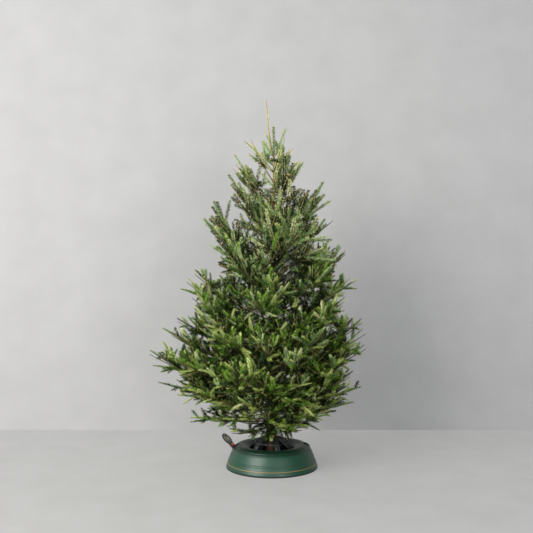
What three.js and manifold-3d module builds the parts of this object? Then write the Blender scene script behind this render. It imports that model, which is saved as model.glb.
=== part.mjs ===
// A cut fir, 1.83 m tall, standing in a round plastic water stand with a foot pedal.
//
// Millimetres, +Z up.  The origin is the centre of the stand's flat underside, +X is the
// viewer's right and -Y faces the viewer.  The trunk runs whole from its flat cut in the
// water tank to the tip of the leader.  Boughs leave it in tiers, and each bough carries one
// mass of foliage: a stem that forks by a seeded rule, with toothed sprays of needles fused
// to it.  The stand has a base plate, an outer shell, a tank, five holding arms, the steel
// cable that pulls them in, and a sprung pedal that winds the cable.
import * as THREE from "three";
import { mergeVertices } from "three/addons/utils/BufferGeometryUtils.js";
import Module from "manifold-3d";

const wasm = await Module();
wasm.setup();

// ---------------------------------------------------------------- driving dimensions
const GAP = 0.3; // clearance between pieces that touch

// Stand: a round shell over a base plate, with the tank hung inside its opening.
const BASE = { radius: 228, thickness: 6 };
const SHELL = { wall: 3.5, sides: 36 };
const SHELL_OUTLINE = [
  [227, BASE.thickness + GAP],
  [227.5, 10],
  [202, 78],
  [194, 92],
  [184, 103],
  [174, 110],
  [162, 113],
  [150, 113],
  [114, 101],
  [110, 93],
];
const TANK = { radius: 119, wall: 3, top: 90, floor: BASE.thickness + GAP + 5, sides: 30 };

// Five arms stand in the tank and lean in on the trunk.  The outline is radius and height.
const ARM_AZIMUTHS = [216, 288, 0, 72, 144];
const ARM_WIDTH = 26;
const ARM_FOOT = { inner: 92, outer: 112, low: 60, high: 84 };
const ARM_OUTLINE = [
  [ARM_FOOT.inner, ARM_FOOT.low],
  [ARM_FOOT.outer, ARM_FOOT.low],
  [ARM_FOOT.outer, ARM_FOOT.high],
  [104, 97],
  [92, 118],
  [70, 137],
  [52, 148],
  [38, 152],
  [28.4, 151],
  [28.4, 131],
  [40, 128],
  [56, 115],
  [74, 94],
  [86, 74],
];
const BRACKET = { thickness: 4, inner: 98, sunk: 2, high: 80 };
const CABLE = { height: 124, radius: 1.8, run: 87.3, beside: 2, sides: 6 };

// Pedal: hinged inside the shell, standing up and out through a slot in the shoulder.  Its
// hinge is at an azimuth and radius, and it leans to a heading of its own, aslant.  Lengths
// are along it from the hinge.
const PEDAL = { azimuth: 182, radius: 170, height: 75, heading: 150, rise: 42 };
const PEDAL_BARREL = { radius: 7, width: 34, sides: 12 };
const PEDAL_PRONG = { length: 60, width: 9, thickness: 10, offset: 10.5 };
const PEDAL_WEB = { from: 32, width: 13, thickness: 8 };
const PEDAL_PAD = { centre: 85, length: 66, width: 52, thickness: 9 };
const PEDAL_INLAY = { length: 52, width: 38, border: 6, height: 1.4 };
const OVAL_STEPS = 16;
const PEDAL_LOCK = { from: 35, length: 13, width: 13, height: 4 };
const SLOT = { from: -9.5, to: 62, width: 38, low: 66, high: 130 };
const GAUGE_OUTLINE = [
  [160, 113.6],
  [162.2, 113.6],
  [174.3, 110.6],
  [184.5, 103.5],
  [190, 97.5],
  [192.6, 99.2],
  [186.5, 106.5],
  [175.5, 114.8],
  [163, 118],
  [160, 118],
];
const GAUGE = { azimuth: 4.5, width: 14 };

// Trunk: sideways drift and radius at some heights.  The last stretch is the bare leader.
const TRUNK_SIDES = 10;
const TRUNK = [
  { height: TANK.floor + GAP, drift: 0, radius: 31 },
  { height: 190, drift: 0, radius: 28.5 },
  { height: 600, drift: 3, radius: 22 },
  { height: 1000, drift: 8, radius: 15.5 },
  { height: 1350, drift: 11, radius: 8.5 },
  { height: 1530, drift: 12, radius: 5 },
  { height: 1594, drift: -4, radius: 3.6 },
  { height: 1703, drift: -18, radius: 3 },
  { height: 1830, drift: -28, radius: 1.8 },
];

// Crown outline: how far the shoots' tips reach to the left (-X) and to the right (+X).
const CROWN = [
  { height: 200, left: 290, right: 205 },
  { height: 330, left: 430, right: 370 },
  { height: 460, left: 560, right: 445 },
  { height: 560, left: 612, right: 465 },
  { height: 700, left: 525, right: 472 },
  { height: 840, left: 455, right: 450 },
  { height: 1000, left: 395, right: 400 },
  { height: 1150, left: 350, right: 330 },
  { height: 1300, left: 300, right: 290 },
  { height: 1400, left: 225, right: 250 },
  { height: 1500, left: 192, right: 158 },
  { height: 1620, left: 142, right: 72 },
  { height: 1700, left: 60, right: 45 },
];

// Tiers of boughs: where they leave the trunk, where their tips end, how many there are and
// the azimuth of the first one, in degrees from +X towards +Y.
const TIERS = [
  { name: "a", height: 206, tip: 212, boughs: 4, turn: 228, limbs: true },
  { name: "b", height: 240, tip: 335, boughs: 4, turn: 350 },
  { name: "c", height: 286, tip: 440, boughs: 4, turn: 20 },
  { name: "d", height: 356, tip: 560, boughs: 5, turn: 180 },
  { name: "e", height: 450, tip: 660, boughs: 4, turn: 2 },
  { name: "f", height: 560, tip: 790, boughs: 4, turn: 222 },
  { name: "g", height: 690, tip: 920, boughs: 4, turn: 180 },
  { name: "h", height: 830, tip: 1060, boughs: 3, turn: 5 },
  { name: "i", height: 970, tip: 1210, boughs: 3, turn: 182 },
  { name: "j", height: 1120, tip: 1350, boughs: 3, turn: 345 },
  { name: "k", height: 1270, tip: 1490, boughs: 2, turn: 178 },
  { name: "l", height: 1410, tip: 1640, boughs: 2, turn: 350 },
];
const BOUGH = {
  sag: 0.1, // how far its middle hangs below its chord, as a share of its length
  swing: 10, // degrees either way in its azimuth
  shortest: 0.9, // share of the full reach that its tip has at least
  rise: 32, // either way in its tip's height
  step: 7, // height from each bough of a tier to the next
  limb: 0.34, // share of a lowest bough that is bare limb
};

const LIMB = { steps: 3, root: 1.5, taper: 0.5, sides: 6 }; // over its stem's own radius

// Branching rule, shared by every mass.
const SPRAY = {
  length: 190,
  most: 0.6, // share of its bough that a tip's spray has at most
  halfWidth: 50,
  narrowest: 0.35, // share of that width that the shortest spray has
  thickness: 7,
  ridge: 0.12, // where it is thickest, as a share of its length
  meet: 0.22, // share of its length that may cross its neighbours at a fork
  roll: 85, // degrees either way that it is turned about its own line
};
// How far along, and how far out, the corners of a spray's edge are: tooth, notch, tooth.
const SPRAY_EDGE = [
  [0.36, 1],
  [0.43, 0.58],
  [0.74, 0.8],
];
// The sprays get smaller from one height to another, and so does all that they grow on.
const SIZES = [
  { height: 850, size: 1 },
  { height: 1600, size: 0.52 },
];
const FORK = {
  step: 148, // distance between forks, counted back from the tip
  offset: 7, // how far the two shoots of a fork stand apart, either way
  last: 0.88, // share of the length that forks
  share: 0.66, // a side shoot's length over its distance from the tip
  extra: 40, // what every side shoot has on top of that
  least: 0.85, // share of that length that a side shoot has at least
  spread: 0.3, // what chance may add to that share
  angle: 48, // degrees between a side shoot and its parent
  low: -12, // degrees that a side shoot tilts out of the fan, at least and at most
  high: 34,
  bare: 40, // bare wood at the root of every stem
};
const WOOD_CORNERS = [-30, 90, 210]; // degrees round a shoot's wood: left, top and right
const TWIG = { root: 2.4, end: 2 };
const STEM = { steps: 4, root: 4, gain: 0.005, end: 3 };

// ---------------------------------------------------------------- materials
const finish = (color, roughness, metalness = 0) =>
  new THREE.MeshStandardMaterial({ color, roughness, metalness });
const BARK = finish(0x6b5037, 0.9);
const NEEDLES = finish(0x4a5e2c, 0.6);
const GREEN_PLASTIC = finish(0x2f5a47, 0.35);
const BLACK_PLASTIC = finish(0x17181b, 0.45);
const GREY_PLASTIC = finish(0x8a8578, 0.5);
const RED_PLASTIC = finish(0xd8301c, 0.4);
const STEEL = finish(0x9aa098, 0.35, 0.9);

// ---------------------------------------------------------------- small tools
const UP = new THREE.Vector3(0, 0, 1);
const { degToRad: radians, lerp } = THREE.MathUtils;
const heading = (azimuth) =>
  new THREE.Vector3(Math.cos(radians(azimuth)), Math.sin(radians(azimuth)), 0);

// A generator of numbers from 0 to 1 that gives the same run for the same seed.
function seeded(seed) {
  let state = seed >>> 0;
  return () => {
    state = (state + 0x6d2b79f5) >>> 0;
    let mixed = Math.imul(state ^ (state >>> 15), state | 1);
    mixed ^= mixed + Math.imul(mixed ^ (mixed >>> 7), mixed | 61);
    return ((mixed ^ (mixed >>> 14)) >>> 0) / 4294967296;
  };
}

// The value of a column of a table of rows, at a height between its rows.
function atHeight(rows, height, column) {
  const next = rows.findIndex((row) => row.height >= height);
  if (next === 0) return rows[0][column];
  if (next < 0) return rows[rows.length - 1][column];
  const [low, high] = [rows[next - 1], rows[next]];
  const share = (height - low.height) / (high.height - low.height);
  return low[column] + share * (high[column] - low[column]);
}

// A closed geometry from corner points and faces, each face a list of corners seen
// counter-clockwise from outside.
function closedGeometry(points, faces) {
  const corners = [];
  for (const face of faces) {
    for (let i = 1; i + 1 < face.length; i++) corners.push(face[0], face[i], face[i + 1]);
  }
  const places = points.flatMap((point) => point.toArray());
  return new THREE.BufferGeometry()
    .setAttribute("position", new THREE.Float32BufferAttribute(places, 3))
    .setIndex(corners);
}

// A ring of points round a centre, in the plane across an axis, counter-clockwise as seen
// from the axis's far end.  The first one is the highest.
function ring(centre, axis, radius, sides) {
  const across = new THREE.Vector3().crossVectors(UP, axis);
  if (across.lengthSq() < 1e-6) across.set(1, 0, 0);
  across.normalize();
  const rise = new THREE.Vector3().crossVectors(axis, across).normalize();
  return Array.from({ length: sides }, (_, i) => {
    const angle = Math.PI / 2 + (2 * Math.PI * i) / sides;
    return centre
      .clone()
      .addScaledVector(across, radius * Math.cos(angle))
      .addScaledVector(rise, radius * Math.sin(angle));
  });
}

// A tube through rings of points.  Its ends are capped, or joined where it is a loop.
function tubeGeometry(rings, loop = false) {
  const sides = rings[0].length;
  const total = rings.length * sides;
  const faces = [];
  for (let r = 0; r < rings.length - (loop ? 0 : 1); r++) {
    for (let i = 0; i < sides; i++) {
      const [a, b] = [r * sides + i, r * sides + ((i + 1) % sides)];
      faces.push([a, b, (b + sides) % total, (a + sides) % total]);
    }
  }
  if (!loop) {
    faces.push(Array.from({ length: sides }, (_, i) => sides - 1 - i));
    faces.push(Array.from({ length: sides }, (_, i) => total - sides + i));
  }
  return closedGeometry(rings.flat(), faces);
}

// A tube along a line of points, with one radius at each point.
function tubeAlong(points, radii, sides, loop = false) {
  const last = points.length - 1;
  const rings = points.map((point, i) => {
    const before = points[i > 0 ? i - 1 : loop ? last : 0];
    const after = points[i < last ? i + 1 : loop ? 0 : last];
    return ring(point, after.clone().sub(before).normalize(), radii[i], sides);
  });
  return tubeGeometry(rings, loop);
}

// A plate with the given outline in radius and height, centred across the heading.
function radialPlate(outline, width, azimuth) {
  const shape = new THREE.Shape(outline.map(([x, y]) => new THREE.Vector2(x, y)));
  const plate = new THREE.ExtrudeGeometry(shape, { depth: width, bevelEnabled: false });
  return plate
    .translate(0, 0, -width / 2)
    .rotateX(Math.PI / 2)
    .rotateZ(radians(azimuth));
}

// A box from its lowest to its highest corner, turned to a heading.
function radialBox(low, high, azimuth) {
  const size = high.map((value, i) => value - low[i]);
  const middle = high.map((value, i) => (value + low[i]) / 2);
  return new THREE.BoxGeometry(...size).translate(...middle).rotateZ(radians(azimuth));
}

// A closed profile of radius and height, turned round Z.
function turned(outline, sides) {
  const points = [...outline, outline[0]].map(([x, y]) => new THREE.Vector2(x, y));
  return new THREE.LatheGeometry(points, sides).rotateX(Math.PI / 2);
}

// A closed geometry as a solid that can be joined and cut.
function solid(geometry) {
  const bare = new THREE.BufferGeometry()
    .setAttribute("position", geometry.getAttribute("position").clone())
    .setIndex(geometry.index);
  const merged = mergeVertices(bare, 1e-4);
  return new wasm.Manifold(
    new wasm.Mesh({
      numProp: 3,
      vertProperties: merged.attributes.position.array,
      triVerts: new Uint32Array(merged.index.array),
    }),
  );
}

function geometryOf(manifold) {
  const mesh = manifold.getMesh();
  return new THREE.BufferGeometry()
    .setAttribute("position", new THREE.BufferAttribute(mesh.vertProperties, 3))
    .setIndex(new THREE.BufferAttribute(mesh.triVerts, 1));
}

// The largest single body of a solid, without loose scraps.
function mainBody(manifold) {
  const bodies = manifold.decompose();
  return bodies.reduce((best, body) => (body.volume() > best.volume() ? body : best));
}

const joined = (solids) => solids.reduce((whole, next) => whole.add(next));

const tree = new THREE.Group();
function place(name, geometry, material) {
  const mesh = new THREE.Mesh(geometry, material);
  mesh.name = name;
  tree.add(mesh);
  return mesh;
}

// ---------------------------------------------------------------- stand
const upright = (geometry) => geometry.rotateX(Math.PI / 2);

function baseGeometry() {
  const disc = new THREE.CylinderGeometry(BASE.radius, BASE.radius, BASE.thickness, SHELL.sides);
  return upright(disc).translate(0, 0, BASE.thickness / 2);
}

// The outline again, moved inwards by the wall, from the lip back down to the foot.
function innerOutline(outline, wall) {
  return outline
    .map(([radius, height], i) => {
      const [before, after] = [outline[Math.max(i - 1, 0)], outline[i + 1] ?? outline[i]];
      const [run, rise] = [after[0] - before[0], after[1] - before[1]];
      const length = Math.hypot(run, rise);
      return [radius - (wall * rise) / length, height + (wall * run) / length];
    })
    .map(([radius, height]) => [radius, Math.max(height, BASE.thickness + GAP)])
    .reverse();
}

const hinge = heading(PEDAL.azimuth).multiplyScalar(PEDAL.radius);

// The slot is cut along the pedal's own heading, from behind its hinge to past the shell.
function shellSolid() {
  const outline = [...SHELL_OUTLINE, ...innerOutline(SHELL_OUTLINE, SHELL.wall)];
  const half = SLOT.width / 2;
  const [low, high] = [[SLOT.from, -half, SLOT.low], [SLOT.to, half, SLOT.high]];
  const slot = radialBox(low, high, PEDAL.heading).translate(hinge.x, hinge.y, 0);
  return solid(turned(outline, SHELL.sides)).subtract(solid(slot));
}

// The tank is a cup, with a pair of brackets on its wall at the foot of every arm.
function tankSolid() {
  const inner = TANK.radius - TANK.wall;
  const cup = solid(turned([
    [0, BASE.thickness + GAP],
    [TANK.radius, BASE.thickness + GAP],
    [TANK.radius, TANK.top],
    [inner, TANK.top],
    [inner, TANK.floor],
    [0, TANK.floor],
  ], TANK.sides));
  const near = ARM_WIDTH / 2 + GAP;
  const brackets = ARM_AZIMUTHS.flatMap((azimuth) =>
    [-1, 1].map((side) => {
      const across = [side * near, side * (near + BRACKET.thickness)].sort((a, b) => a - b);
      const low = [BRACKET.inner, across[0], ARM_FOOT.low];
      const high = [TANK.radius - BRACKET.sunk, across[1], BRACKET.high];
      return solid(radialBox(low, high, azimuth));
    }),
  );
  return joined([cup, ...brackets]);
}

const armGeometry = (azimuth) => radialPlate(ARM_OUTLINE, ARM_WIDTH, azimuth);

// The cable lies flat across the back of each arm and runs straight to the next one.
function cableGeometry() {
  const half = ARM_WIDTH / 2 + CABLE.beside;
  const points = ARM_AZIMUTHS.flatMap((azimuth) =>
    [-half, half].map((across) =>
      new THREE.Vector3(CABLE.run + CABLE.radius + GAP, across, CABLE.height)
        .applyAxisAngle(UP, radians(azimuth)),
    ),
  );
  return tubeAlong(points, points.map(() => CABLE.radius), CABLE.sides, true);
}

// Pedal pieces are drawn lying along +X from the hinge, top side up, then stood in place.
function stoodPedal(geometry) {
  return geometry
    .rotateY(-radians(PEDAL.rise))
    .rotateZ(radians(PEDAL.heading))
    .translate(hinge.x, hinge.y, PEDAL.height);
}

function ovalShape(length, width) {
  return new THREE.Shape().absellipse(0, 0, length / 2, width / 2, 0, 2 * Math.PI);
}

// The pedal: a barrel on the hinge, two prongs with a gap between them, a web that joins
// the prongs under the lock, and the oval pad.
function pedalSolid() {
  const { radius, width, sides } = PEDAL_BARREL;
  const barrel = new THREE.CylinderGeometry(radius, radius, width, sides);
  const { length, thickness, offset } = PEDAL_PRONG;
  const prongs = [-offset, offset].map((across) =>
    new THREE.BoxGeometry(length, PEDAL_PRONG.width, thickness).translate(length / 2, across, 0),
  );
  const reach = length - PEDAL_WEB.from;
  const web = new THREE.BoxGeometry(reach, PEDAL_WEB.width, PEDAL_WEB.thickness);
  web.translate(PEDAL_WEB.from + reach / 2, 0, 0);
  const pad = new THREE.ExtrudeGeometry(ovalShape(PEDAL_PAD.length, PEDAL_PAD.width), {
    depth: PEDAL_PAD.thickness,
    bevelEnabled: false,
    curveSegments: OVAL_STEPS,
  }).translate(PEDAL_PAD.centre, 0, -PEDAL_PAD.thickness / 2);
  return joined([barrel, ...prongs, web, pad].map((piece) => solid(stoodPedal(piece))));
}

// An oval band let in on the pad's top.
function inlayGeometry() {
  const { length, width, border, height } = PEDAL_INLAY;
  const band = ovalShape(length, width);
  band.holes.push(ovalShape(length - 2 * border, width - 2 * border));
  const geometry = new THREE.ExtrudeGeometry(band, {
    depth: height,
    bevelEnabled: false,
    curveSegments: OVAL_STEPS,
  });
  return stoodPedal(geometry.translate(PEDAL_PAD.centre, 0, PEDAL_PAD.thickness / 2 + GAP));
}

function lockGeometry() {
  const { from, length, width, height } = PEDAL_LOCK;
  const block = new THREE.BoxGeometry(length, width, height);
  const top = PEDAL_PRONG.thickness / 2 + GAP + height / 2;
  return stoodPedal(block.translate(from + length / 2, 0, top));
}

place("base_plate", baseGeometry(), BLACK_PLASTIC);
place("stand_shell", geometryOf(shellSolid()), GREEN_PLASTIC);
place("water_tank", geometryOf(tankSolid()), BLACK_PLASTIC);
ARM_AZIMUTHS.forEach((azimuth, i) => place(`arm_${i + 1}`, armGeometry(azimuth), BLACK_PLASTIC));
place("cable", cableGeometry(), STEEL);
place("pedal", geometryOf(pedalSolid()), BLACK_PLASTIC);
place("pedal_inlay", inlayGeometry(), GREY_PLASTIC);
place("pedal_lock", lockGeometry(), RED_PLASTIC);
place("fill_gauge", radialPlate(GAUGE_OUTLINE, GAUGE.width, GAUGE.azimuth), BLACK_PLASTIC);

// ---------------------------------------------------------------- trunk
const trunkCentre = (height) => new THREE.Vector3(atHeight(TRUNK, height, "drift"), 0, height);

function trunkGeometry(extra) {
  const rings = TRUNK.map(({ height, radius }) =>
    ring(trunkCentre(height), UP, radius + extra, TRUNK_SIDES),
  );
  return tubeGeometry(rings);
}
place("trunk", trunkGeometry(0), BARK);
const aroundTrunk = solid(trunkGeometry(GAP));

// ---------------------------------------------------------------- boughs
function crownReach(height, azimuth) {
  const left = atHeight(CROWN, height, "left");
  const right = atHeight(CROWN, height, "right");
  return (left + right) / 2 - ((left - right) / 2) * Math.cos(radians(azimuth));
}

// The boughs of a tier: curves from the trunk's axis to the crown's outline.  The first
// reaches all the way, and the others end a little short of it.
function boughsOf(tier, tierIndex) {
  return Array.from({ length: tier.boughs }, (_, index) => {
    const random = seeded(100 * (tierIndex + 1) + index);
    const free = index === 0 ? 0 : 1;
    const swing = free * BOUGH.swing * (2 * random() - 1);
    const share = 1 - free * (1 - BOUGH.shortest) * random();
    const rise = free * BOUGH.rise * (2 * random() - 1);
    const azimuth = tier.turn + (360 * index) / tier.boughs + swing;
    const root = trunkCentre(tier.height + BOUGH.step * index);
    const tip = heading(azimuth).multiplyScalar(share * crownReach(tier.tip + rise, azimuth));
    tip.setZ(tier.tip + rise);
    const length = tip.distanceTo(root);
    const middle = root.clone().lerp(tip, 0.5).addScaledVector(UP, -BOUGH.sag * length);
    return {
      name: tier.name + (index + 1),
      curve: new THREE.QuadraticBezierCurve3(root, middle, tip),
      side: new THREE.Vector3().crossVectors(UP, heading(azimuth)),
      length,
      limb: tier.limbs ? BOUGH.limb : 0,
      habit: { random, size: atHeight(SIZES, tip.z, "size") },
    };
  });
}

// ---------------------------------------------------------------- branching rule
// A vector turned about an axis by some degrees.
const turnedAbout = (vector, axis, degrees) =>
  vector.clone().applyAxisAngle(axis, radians(degrees));

// Adds one straight shoot, and the side shoots of one that is long enough to fork.  A shoot
// is a line of bare wood, empty on a short one, that ends in a spray.  Every shoot names the
// one that it grows from.
function growShoot(shoots, parent, start, direction, side, length, habit) {
  const { random, size } = habit;
  const tip = start.clone().addScaledVector(direction, length);
  const forks = length > SPRAY.length * size;
  const spray = forks ? SPRAY.length * size : length;
  const root = tip.clone().addScaledVector(direction, -spray);
  const width = turnedAbout(side, direction, SPRAY.roll * (2 * random() - 1));
  const own = shoots.length;
  const wood = forks ? [start, root] : [];
  shoots.push({ parent, wood, thick: TWIG, root, direction, width, spray, size });
  if (!forks) return;
  const at = (back) => ({ point: tip.clone().addScaledVector(direction, -back), direction });
  growSides(shoots, own, at, side, length, habit);
}

// Side shoots in pairs at each fork, counted back from the tip of a shoot or stem.
function growSides(shoots, parent, at, side, length, habit) {
  const { random, size } = habit;
  const step = FORK.step * size;
  for (let back = step; back < FORK.last * length; back += step) {
    for (const sign of [-1, 1]) {
      const { point, direction } = at(back + FORK.offset * (sign + random()));
      const tilt = FORK.low + (FORK.high - FORK.low) * random();
      const chance = FORK.least + FORK.spread * random();
      const reach = (FORK.share * back + FORK.extra) * chance;
      const out = new THREE.Vector3().crossVectors(direction, side).normalize();
      const across = turnedAbout(side, out, sign * FORK.angle);
      const level = turnedAbout(direction, out, sign * FORK.angle);
      const lifted = turnedAbout(level, across, -tilt).normalize();
      growShoot(shoots, parent, point, lifted, across, reach, habit);
    }
  }
}

// Everything that grows on one bough: its stem with the spray at its tip comes first.
function growBough({ curve, side, length, limb, habit }) {
  const { random, size } = habit;
  const at = (back) => {
    const share = Math.max(1 - back / length, 0);
    return { point: curve.getPoint(share), direction: curve.getTangent(share) };
  };
  const to = 1 - Math.min((SPRAY.length * size) / length, SPRAY.most);
  const wood = Array.from({ length: STEM.steps + 1 }, (_, i) =>
    curve.getPoint(limb + (to - limb) * (i / STEM.steps)),
  );
  const root = curve.getPoint(to);
  const tip = curve.getPoint(1);
  const direction = tip.clone().sub(root).normalize();
  const width = turnedAbout(side, direction, SPRAY.roll * (2 * random() - 1));
  const thick = { root: STEM.root + STEM.gain * length, end: STEM.end };
  const shoots = [];
  const spray = tip.distanceTo(root);
  shoots.push({ parent: -1, wood, thick, root, direction, width, spray, size });
  growSides(shoots, 0, at, side, length * (1 - limb) - FORK.bare, habit);
  return shoots;
}

// ---------------------------------------------------------------- foliage solids
// A shoot: three-cornered wood, then a pointed blade with a toothed edge that is thickest at
// its ridge, near the root.
function shootGeometry(shoot, extra = 0) {
  const { wood, thick, root, direction, width, spray, size } = shoot;
  const over = new THREE.Vector3().crossVectors(direction, width).normalize();
  const points = [];
  const add = (centre, ahead, aside, above) =>
    points.push(
      centre
        .clone()
        .addScaledVector(direction, ahead)
        .addScaledVector(width, aside)
        .addScaledVector(over, above),
    ) - 1;

  const rings = wood.map((centre, i) => {
    const radius = lerp(thick.root, thick.end, i / (wood.length - 1)) + extra;
    return WOOD_CORNERS.map((angle) =>
      add(centre, 0, radius * Math.cos(radians(angle)), radius * Math.sin(radians(angle))),
    );
  });
  const faces = rings.slice(1).flatMap((far, r) =>
    [0, 1, 2].map((i) => {
      const next = (i + 1) % 3;
      return [rings[r][i], rings[r][next], far[next], far[i]];
    }),
  );
  if (rings.length > 0) faces.push(rings[0].toReversed());

  const share = Math.min(1, lerp(SPRAY.narrowest, 1, spray / (SPRAY.length * size)));
  const wide = SPRAY.halfWidth * size * share + extra;
  const long = spray + extra;
  const start = rings.at(-1) ?? [add(root, 0, 0, 0)];
  const startBelow = start.length > 1 ? [start[0], start[2]] : start;
  const side = (sign) =>
    SPRAY_EDGE.map(([ahead, aside]) => add(root, ahead * long, sign * aside * wide, 0));
  const edge = [...side(-1), add(root, long, 0, 0), ...side(1).toReversed()];
  for (const sign of [1, -1]) {
    const thickness = (SPRAY.thickness * size) / 2 + extra;
    const ridge = add(root, SPRAY.ridge * long, 0, sign * thickness);
    const outline = [...(sign > 0 ? start : startBelow), ...edge];
    outline.forEach((corner, i) => {
      const next = outline[(i + 1) % outline.length];
      faces.push(sign > 0 ? [ridge, corner, next] : [ridge, next, corner]);
    });
  }
  return closedGeometry(points, faces);
}

// ---------------------------------------------------------------- keeping masses apart
const taken = [];
function take(owner, body) {
  taken.push({ owner, body, box: body.boundingBox() });
}

const boxesMeet = (p, q) =>
  [0, 1, 2].every((i) => p.min[i] <= q.max[i] && q.min[i] <= p.max[i]);

// True where a solid touches nothing that is taken, apart from what its owner has taken.
function isFree(owner, body) {
  const box = body.boundingBox();
  return taken.every(
    (other) =>
      other.owner === owner || !boxesMeet(box, other.box) || body.intersect(other.body).isEmpty(),
  );
}

// A shoot's spray without its root, which may cross no other spray of its mass.
function outerSpray(shoot) {
  const skipped = SPRAY.meet * shoot.spray;
  const root = shoot.root.clone().addScaledVector(shoot.direction, skipped);
  return solid(shootGeometry({ ...shoot, wood: [], root, spray: shoot.spray - skipped }));
}

// ---------------------------------------------------------------- masses
const boughs = TIERS.flatMap(boughsOf);
for (const mesh of tree.children) {
  if (mesh.name !== "trunk") take(mesh.name, solid(mesh.geometry));
}

// A lowest bough's bare limb, from the trunk's axis to where its mass starts.
function limbSolid({ curve, limb, length }, extra) {
  const to = limb + extra / length;
  const steps = Array.from({ length: LIMB.steps + 1 }, (_, i) => i);
  const points = steps.map((i) => curve.getPoint((to * i) / LIMB.steps));
  const stem = STEM.root + STEM.gain * length;
  const radii = steps.map((i) => stem + LIMB.root - LIMB.taper * i + extra);
  return solid(tubeAlong(points, radii, LIMB.sides)).subtract(aroundTrunk);
}

// The stems come first, so that every bough keeps its own way through the crown.
const masses = boughs.map((bough) => {
  const { name, limb } = bough;
  const shoots = growBough(bough);
  let stem = solid(shootGeometry(shoots[0])).subtract(aroundTrunk);
  if (limb > 0) {
    const wood = mainBody(limbSolid(bough, 0));
    place(`limb_${name}`, geometryOf(wood), BARK);
    take(`limb_${name}`, wood);
    stem = stem.subtract(limbSolid(bough, GAP));
  }
  take(name, stem);
  shoots[0].grown = true;
  return { name, shoots, stem };
});

// A shoot that would meet another mass, a limb or the stand is left out, with all that grows
// from it.  So is one whose spray would cross another spray of its own mass.
for (const { name, shoots, stem } of masses) {
  const bodies = [stem];
  const outer = [outerSpray(shoots[0])];
  for (const shoot of shoots.slice(1)) {
    if (!shoots[shoot.parent].grown) continue;
    const spray = outerSpray(shoot);
    if (outer.some((other) => !other.intersect(spray).isEmpty())) continue;
    if (!isFree(name, solid(shootGeometry(shoot, 2 * GAP)))) continue;
    const body = solid(shootGeometry(shoot));
    shoot.grown = true;
    outer.push(spray);
    bodies.push(body);
    take(name, body);
  }
  const whole = mainBody(joined(bodies).subtract(aroundTrunk));
  place(`foliage_${name}`, geometryOf(whole), NEEDLES);
}

export default tree;
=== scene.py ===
"""A cut fir, 1.83 m tall, in a round green water stand with a foot pedal.

Metres, +Z up, with the origin at the centre of the stand's flat underside.  The stand's
pieces are surfaces of revolution and profiles carried along paths.  The crown grows by the
part's own branching rule, with the same seeds and the same order of draws, and every spray
and every stretch of wood is then carried on to finer twigs that bear the needles.
"""

import math

import bpy
import numpy as np
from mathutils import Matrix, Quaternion, Vector


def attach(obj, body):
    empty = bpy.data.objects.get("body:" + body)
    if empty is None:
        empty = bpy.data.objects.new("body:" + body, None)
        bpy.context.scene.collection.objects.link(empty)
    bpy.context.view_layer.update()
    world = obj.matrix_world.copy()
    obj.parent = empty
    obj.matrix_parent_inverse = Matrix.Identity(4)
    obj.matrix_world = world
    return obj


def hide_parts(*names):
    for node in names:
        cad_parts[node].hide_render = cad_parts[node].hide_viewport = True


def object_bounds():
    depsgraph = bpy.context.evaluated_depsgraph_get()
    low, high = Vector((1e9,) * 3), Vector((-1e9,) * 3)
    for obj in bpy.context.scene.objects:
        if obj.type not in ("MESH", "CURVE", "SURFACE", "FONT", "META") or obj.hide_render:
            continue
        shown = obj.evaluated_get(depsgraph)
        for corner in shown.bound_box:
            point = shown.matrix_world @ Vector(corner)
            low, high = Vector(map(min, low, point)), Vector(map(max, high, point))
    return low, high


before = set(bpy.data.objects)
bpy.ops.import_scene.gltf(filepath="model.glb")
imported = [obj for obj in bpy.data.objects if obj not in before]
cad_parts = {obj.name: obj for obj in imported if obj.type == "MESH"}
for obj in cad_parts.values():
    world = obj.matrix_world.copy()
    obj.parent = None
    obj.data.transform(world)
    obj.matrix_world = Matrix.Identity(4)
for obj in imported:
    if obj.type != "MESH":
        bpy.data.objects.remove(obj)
cad_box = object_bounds()
CAD_TOP = cad_box[1][2]
scene = bpy.context.scene

BODY = "tree_and_stand"
PEDAL_BODY = "pedal"
UP = Vector((0, 0, 1))
TURN = 2 * math.pi

# ---------------------------------------------------------------- camera
CAMERA_PLACE = (-0.0265, -4.0, 1.02)
CAMERA_LENS = 54.03
CAMERA_SHIFT = -0.0079

camera = bpy.data.objects.new("camera", bpy.data.cameras.new("camera"))
camera.location = CAMERA_PLACE
camera.rotation_euler = (math.radians(90), 0, 0)
camera.data.lens = CAMERA_LENS
camera.data.shift_y = CAMERA_SHIFT
scene.collection.objects.link(camera)
scene.camera = camera

# ---------------------------------------------------------------- sizes of the stand
GAP = 0.0003  # between pieces that touch
# Sizes are radii, widths and heights.  "sides" and "stations" count points round and along.
BASE = {"radius": 0.228, "thickness": 0.006, "round": 0.0015, "inner": (0.02, 0.12),
        "sides": 160}
SHELL_WALL = 0.0035
SHELL_SIDES = 216
SHELL_STATIONS = 190
SHELL_OUTLINE = [  # radius and height, from the foot over the shoulder to the well's lip
    (0.2270, 0.0063),
    (0.2275, 0.0100),
    (0.2020, 0.0780),
    (0.1940, 0.0920),
    (0.1840, 0.1030),
    (0.1740, 0.1100),
    (0.1620, 0.1130),
    (0.1500, 0.1130),
    (0.1140, 0.1010),
    (0.1100, 0.0930),
]
SLOPE_FROM = 0.17  # the radius beyond which the outline is the slope outside
SHELL_GROOVES = {"at": [0.042, 0.050], "proud": -0.0011, "width": 0.0009}  # by height
SHELL_CREASE = {"at": [0.0995], "proud": -0.0012, "width": 0.0016}  # under the shoulder
SHELL_BEADS = {"at": [0.1300, 0.1375], "proud": 0.0009, "width": 0.0016}  # round the well
GOLD_LINE = {"low": 0.0236, "high": 0.0258, "proud": 0.0003}
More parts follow.
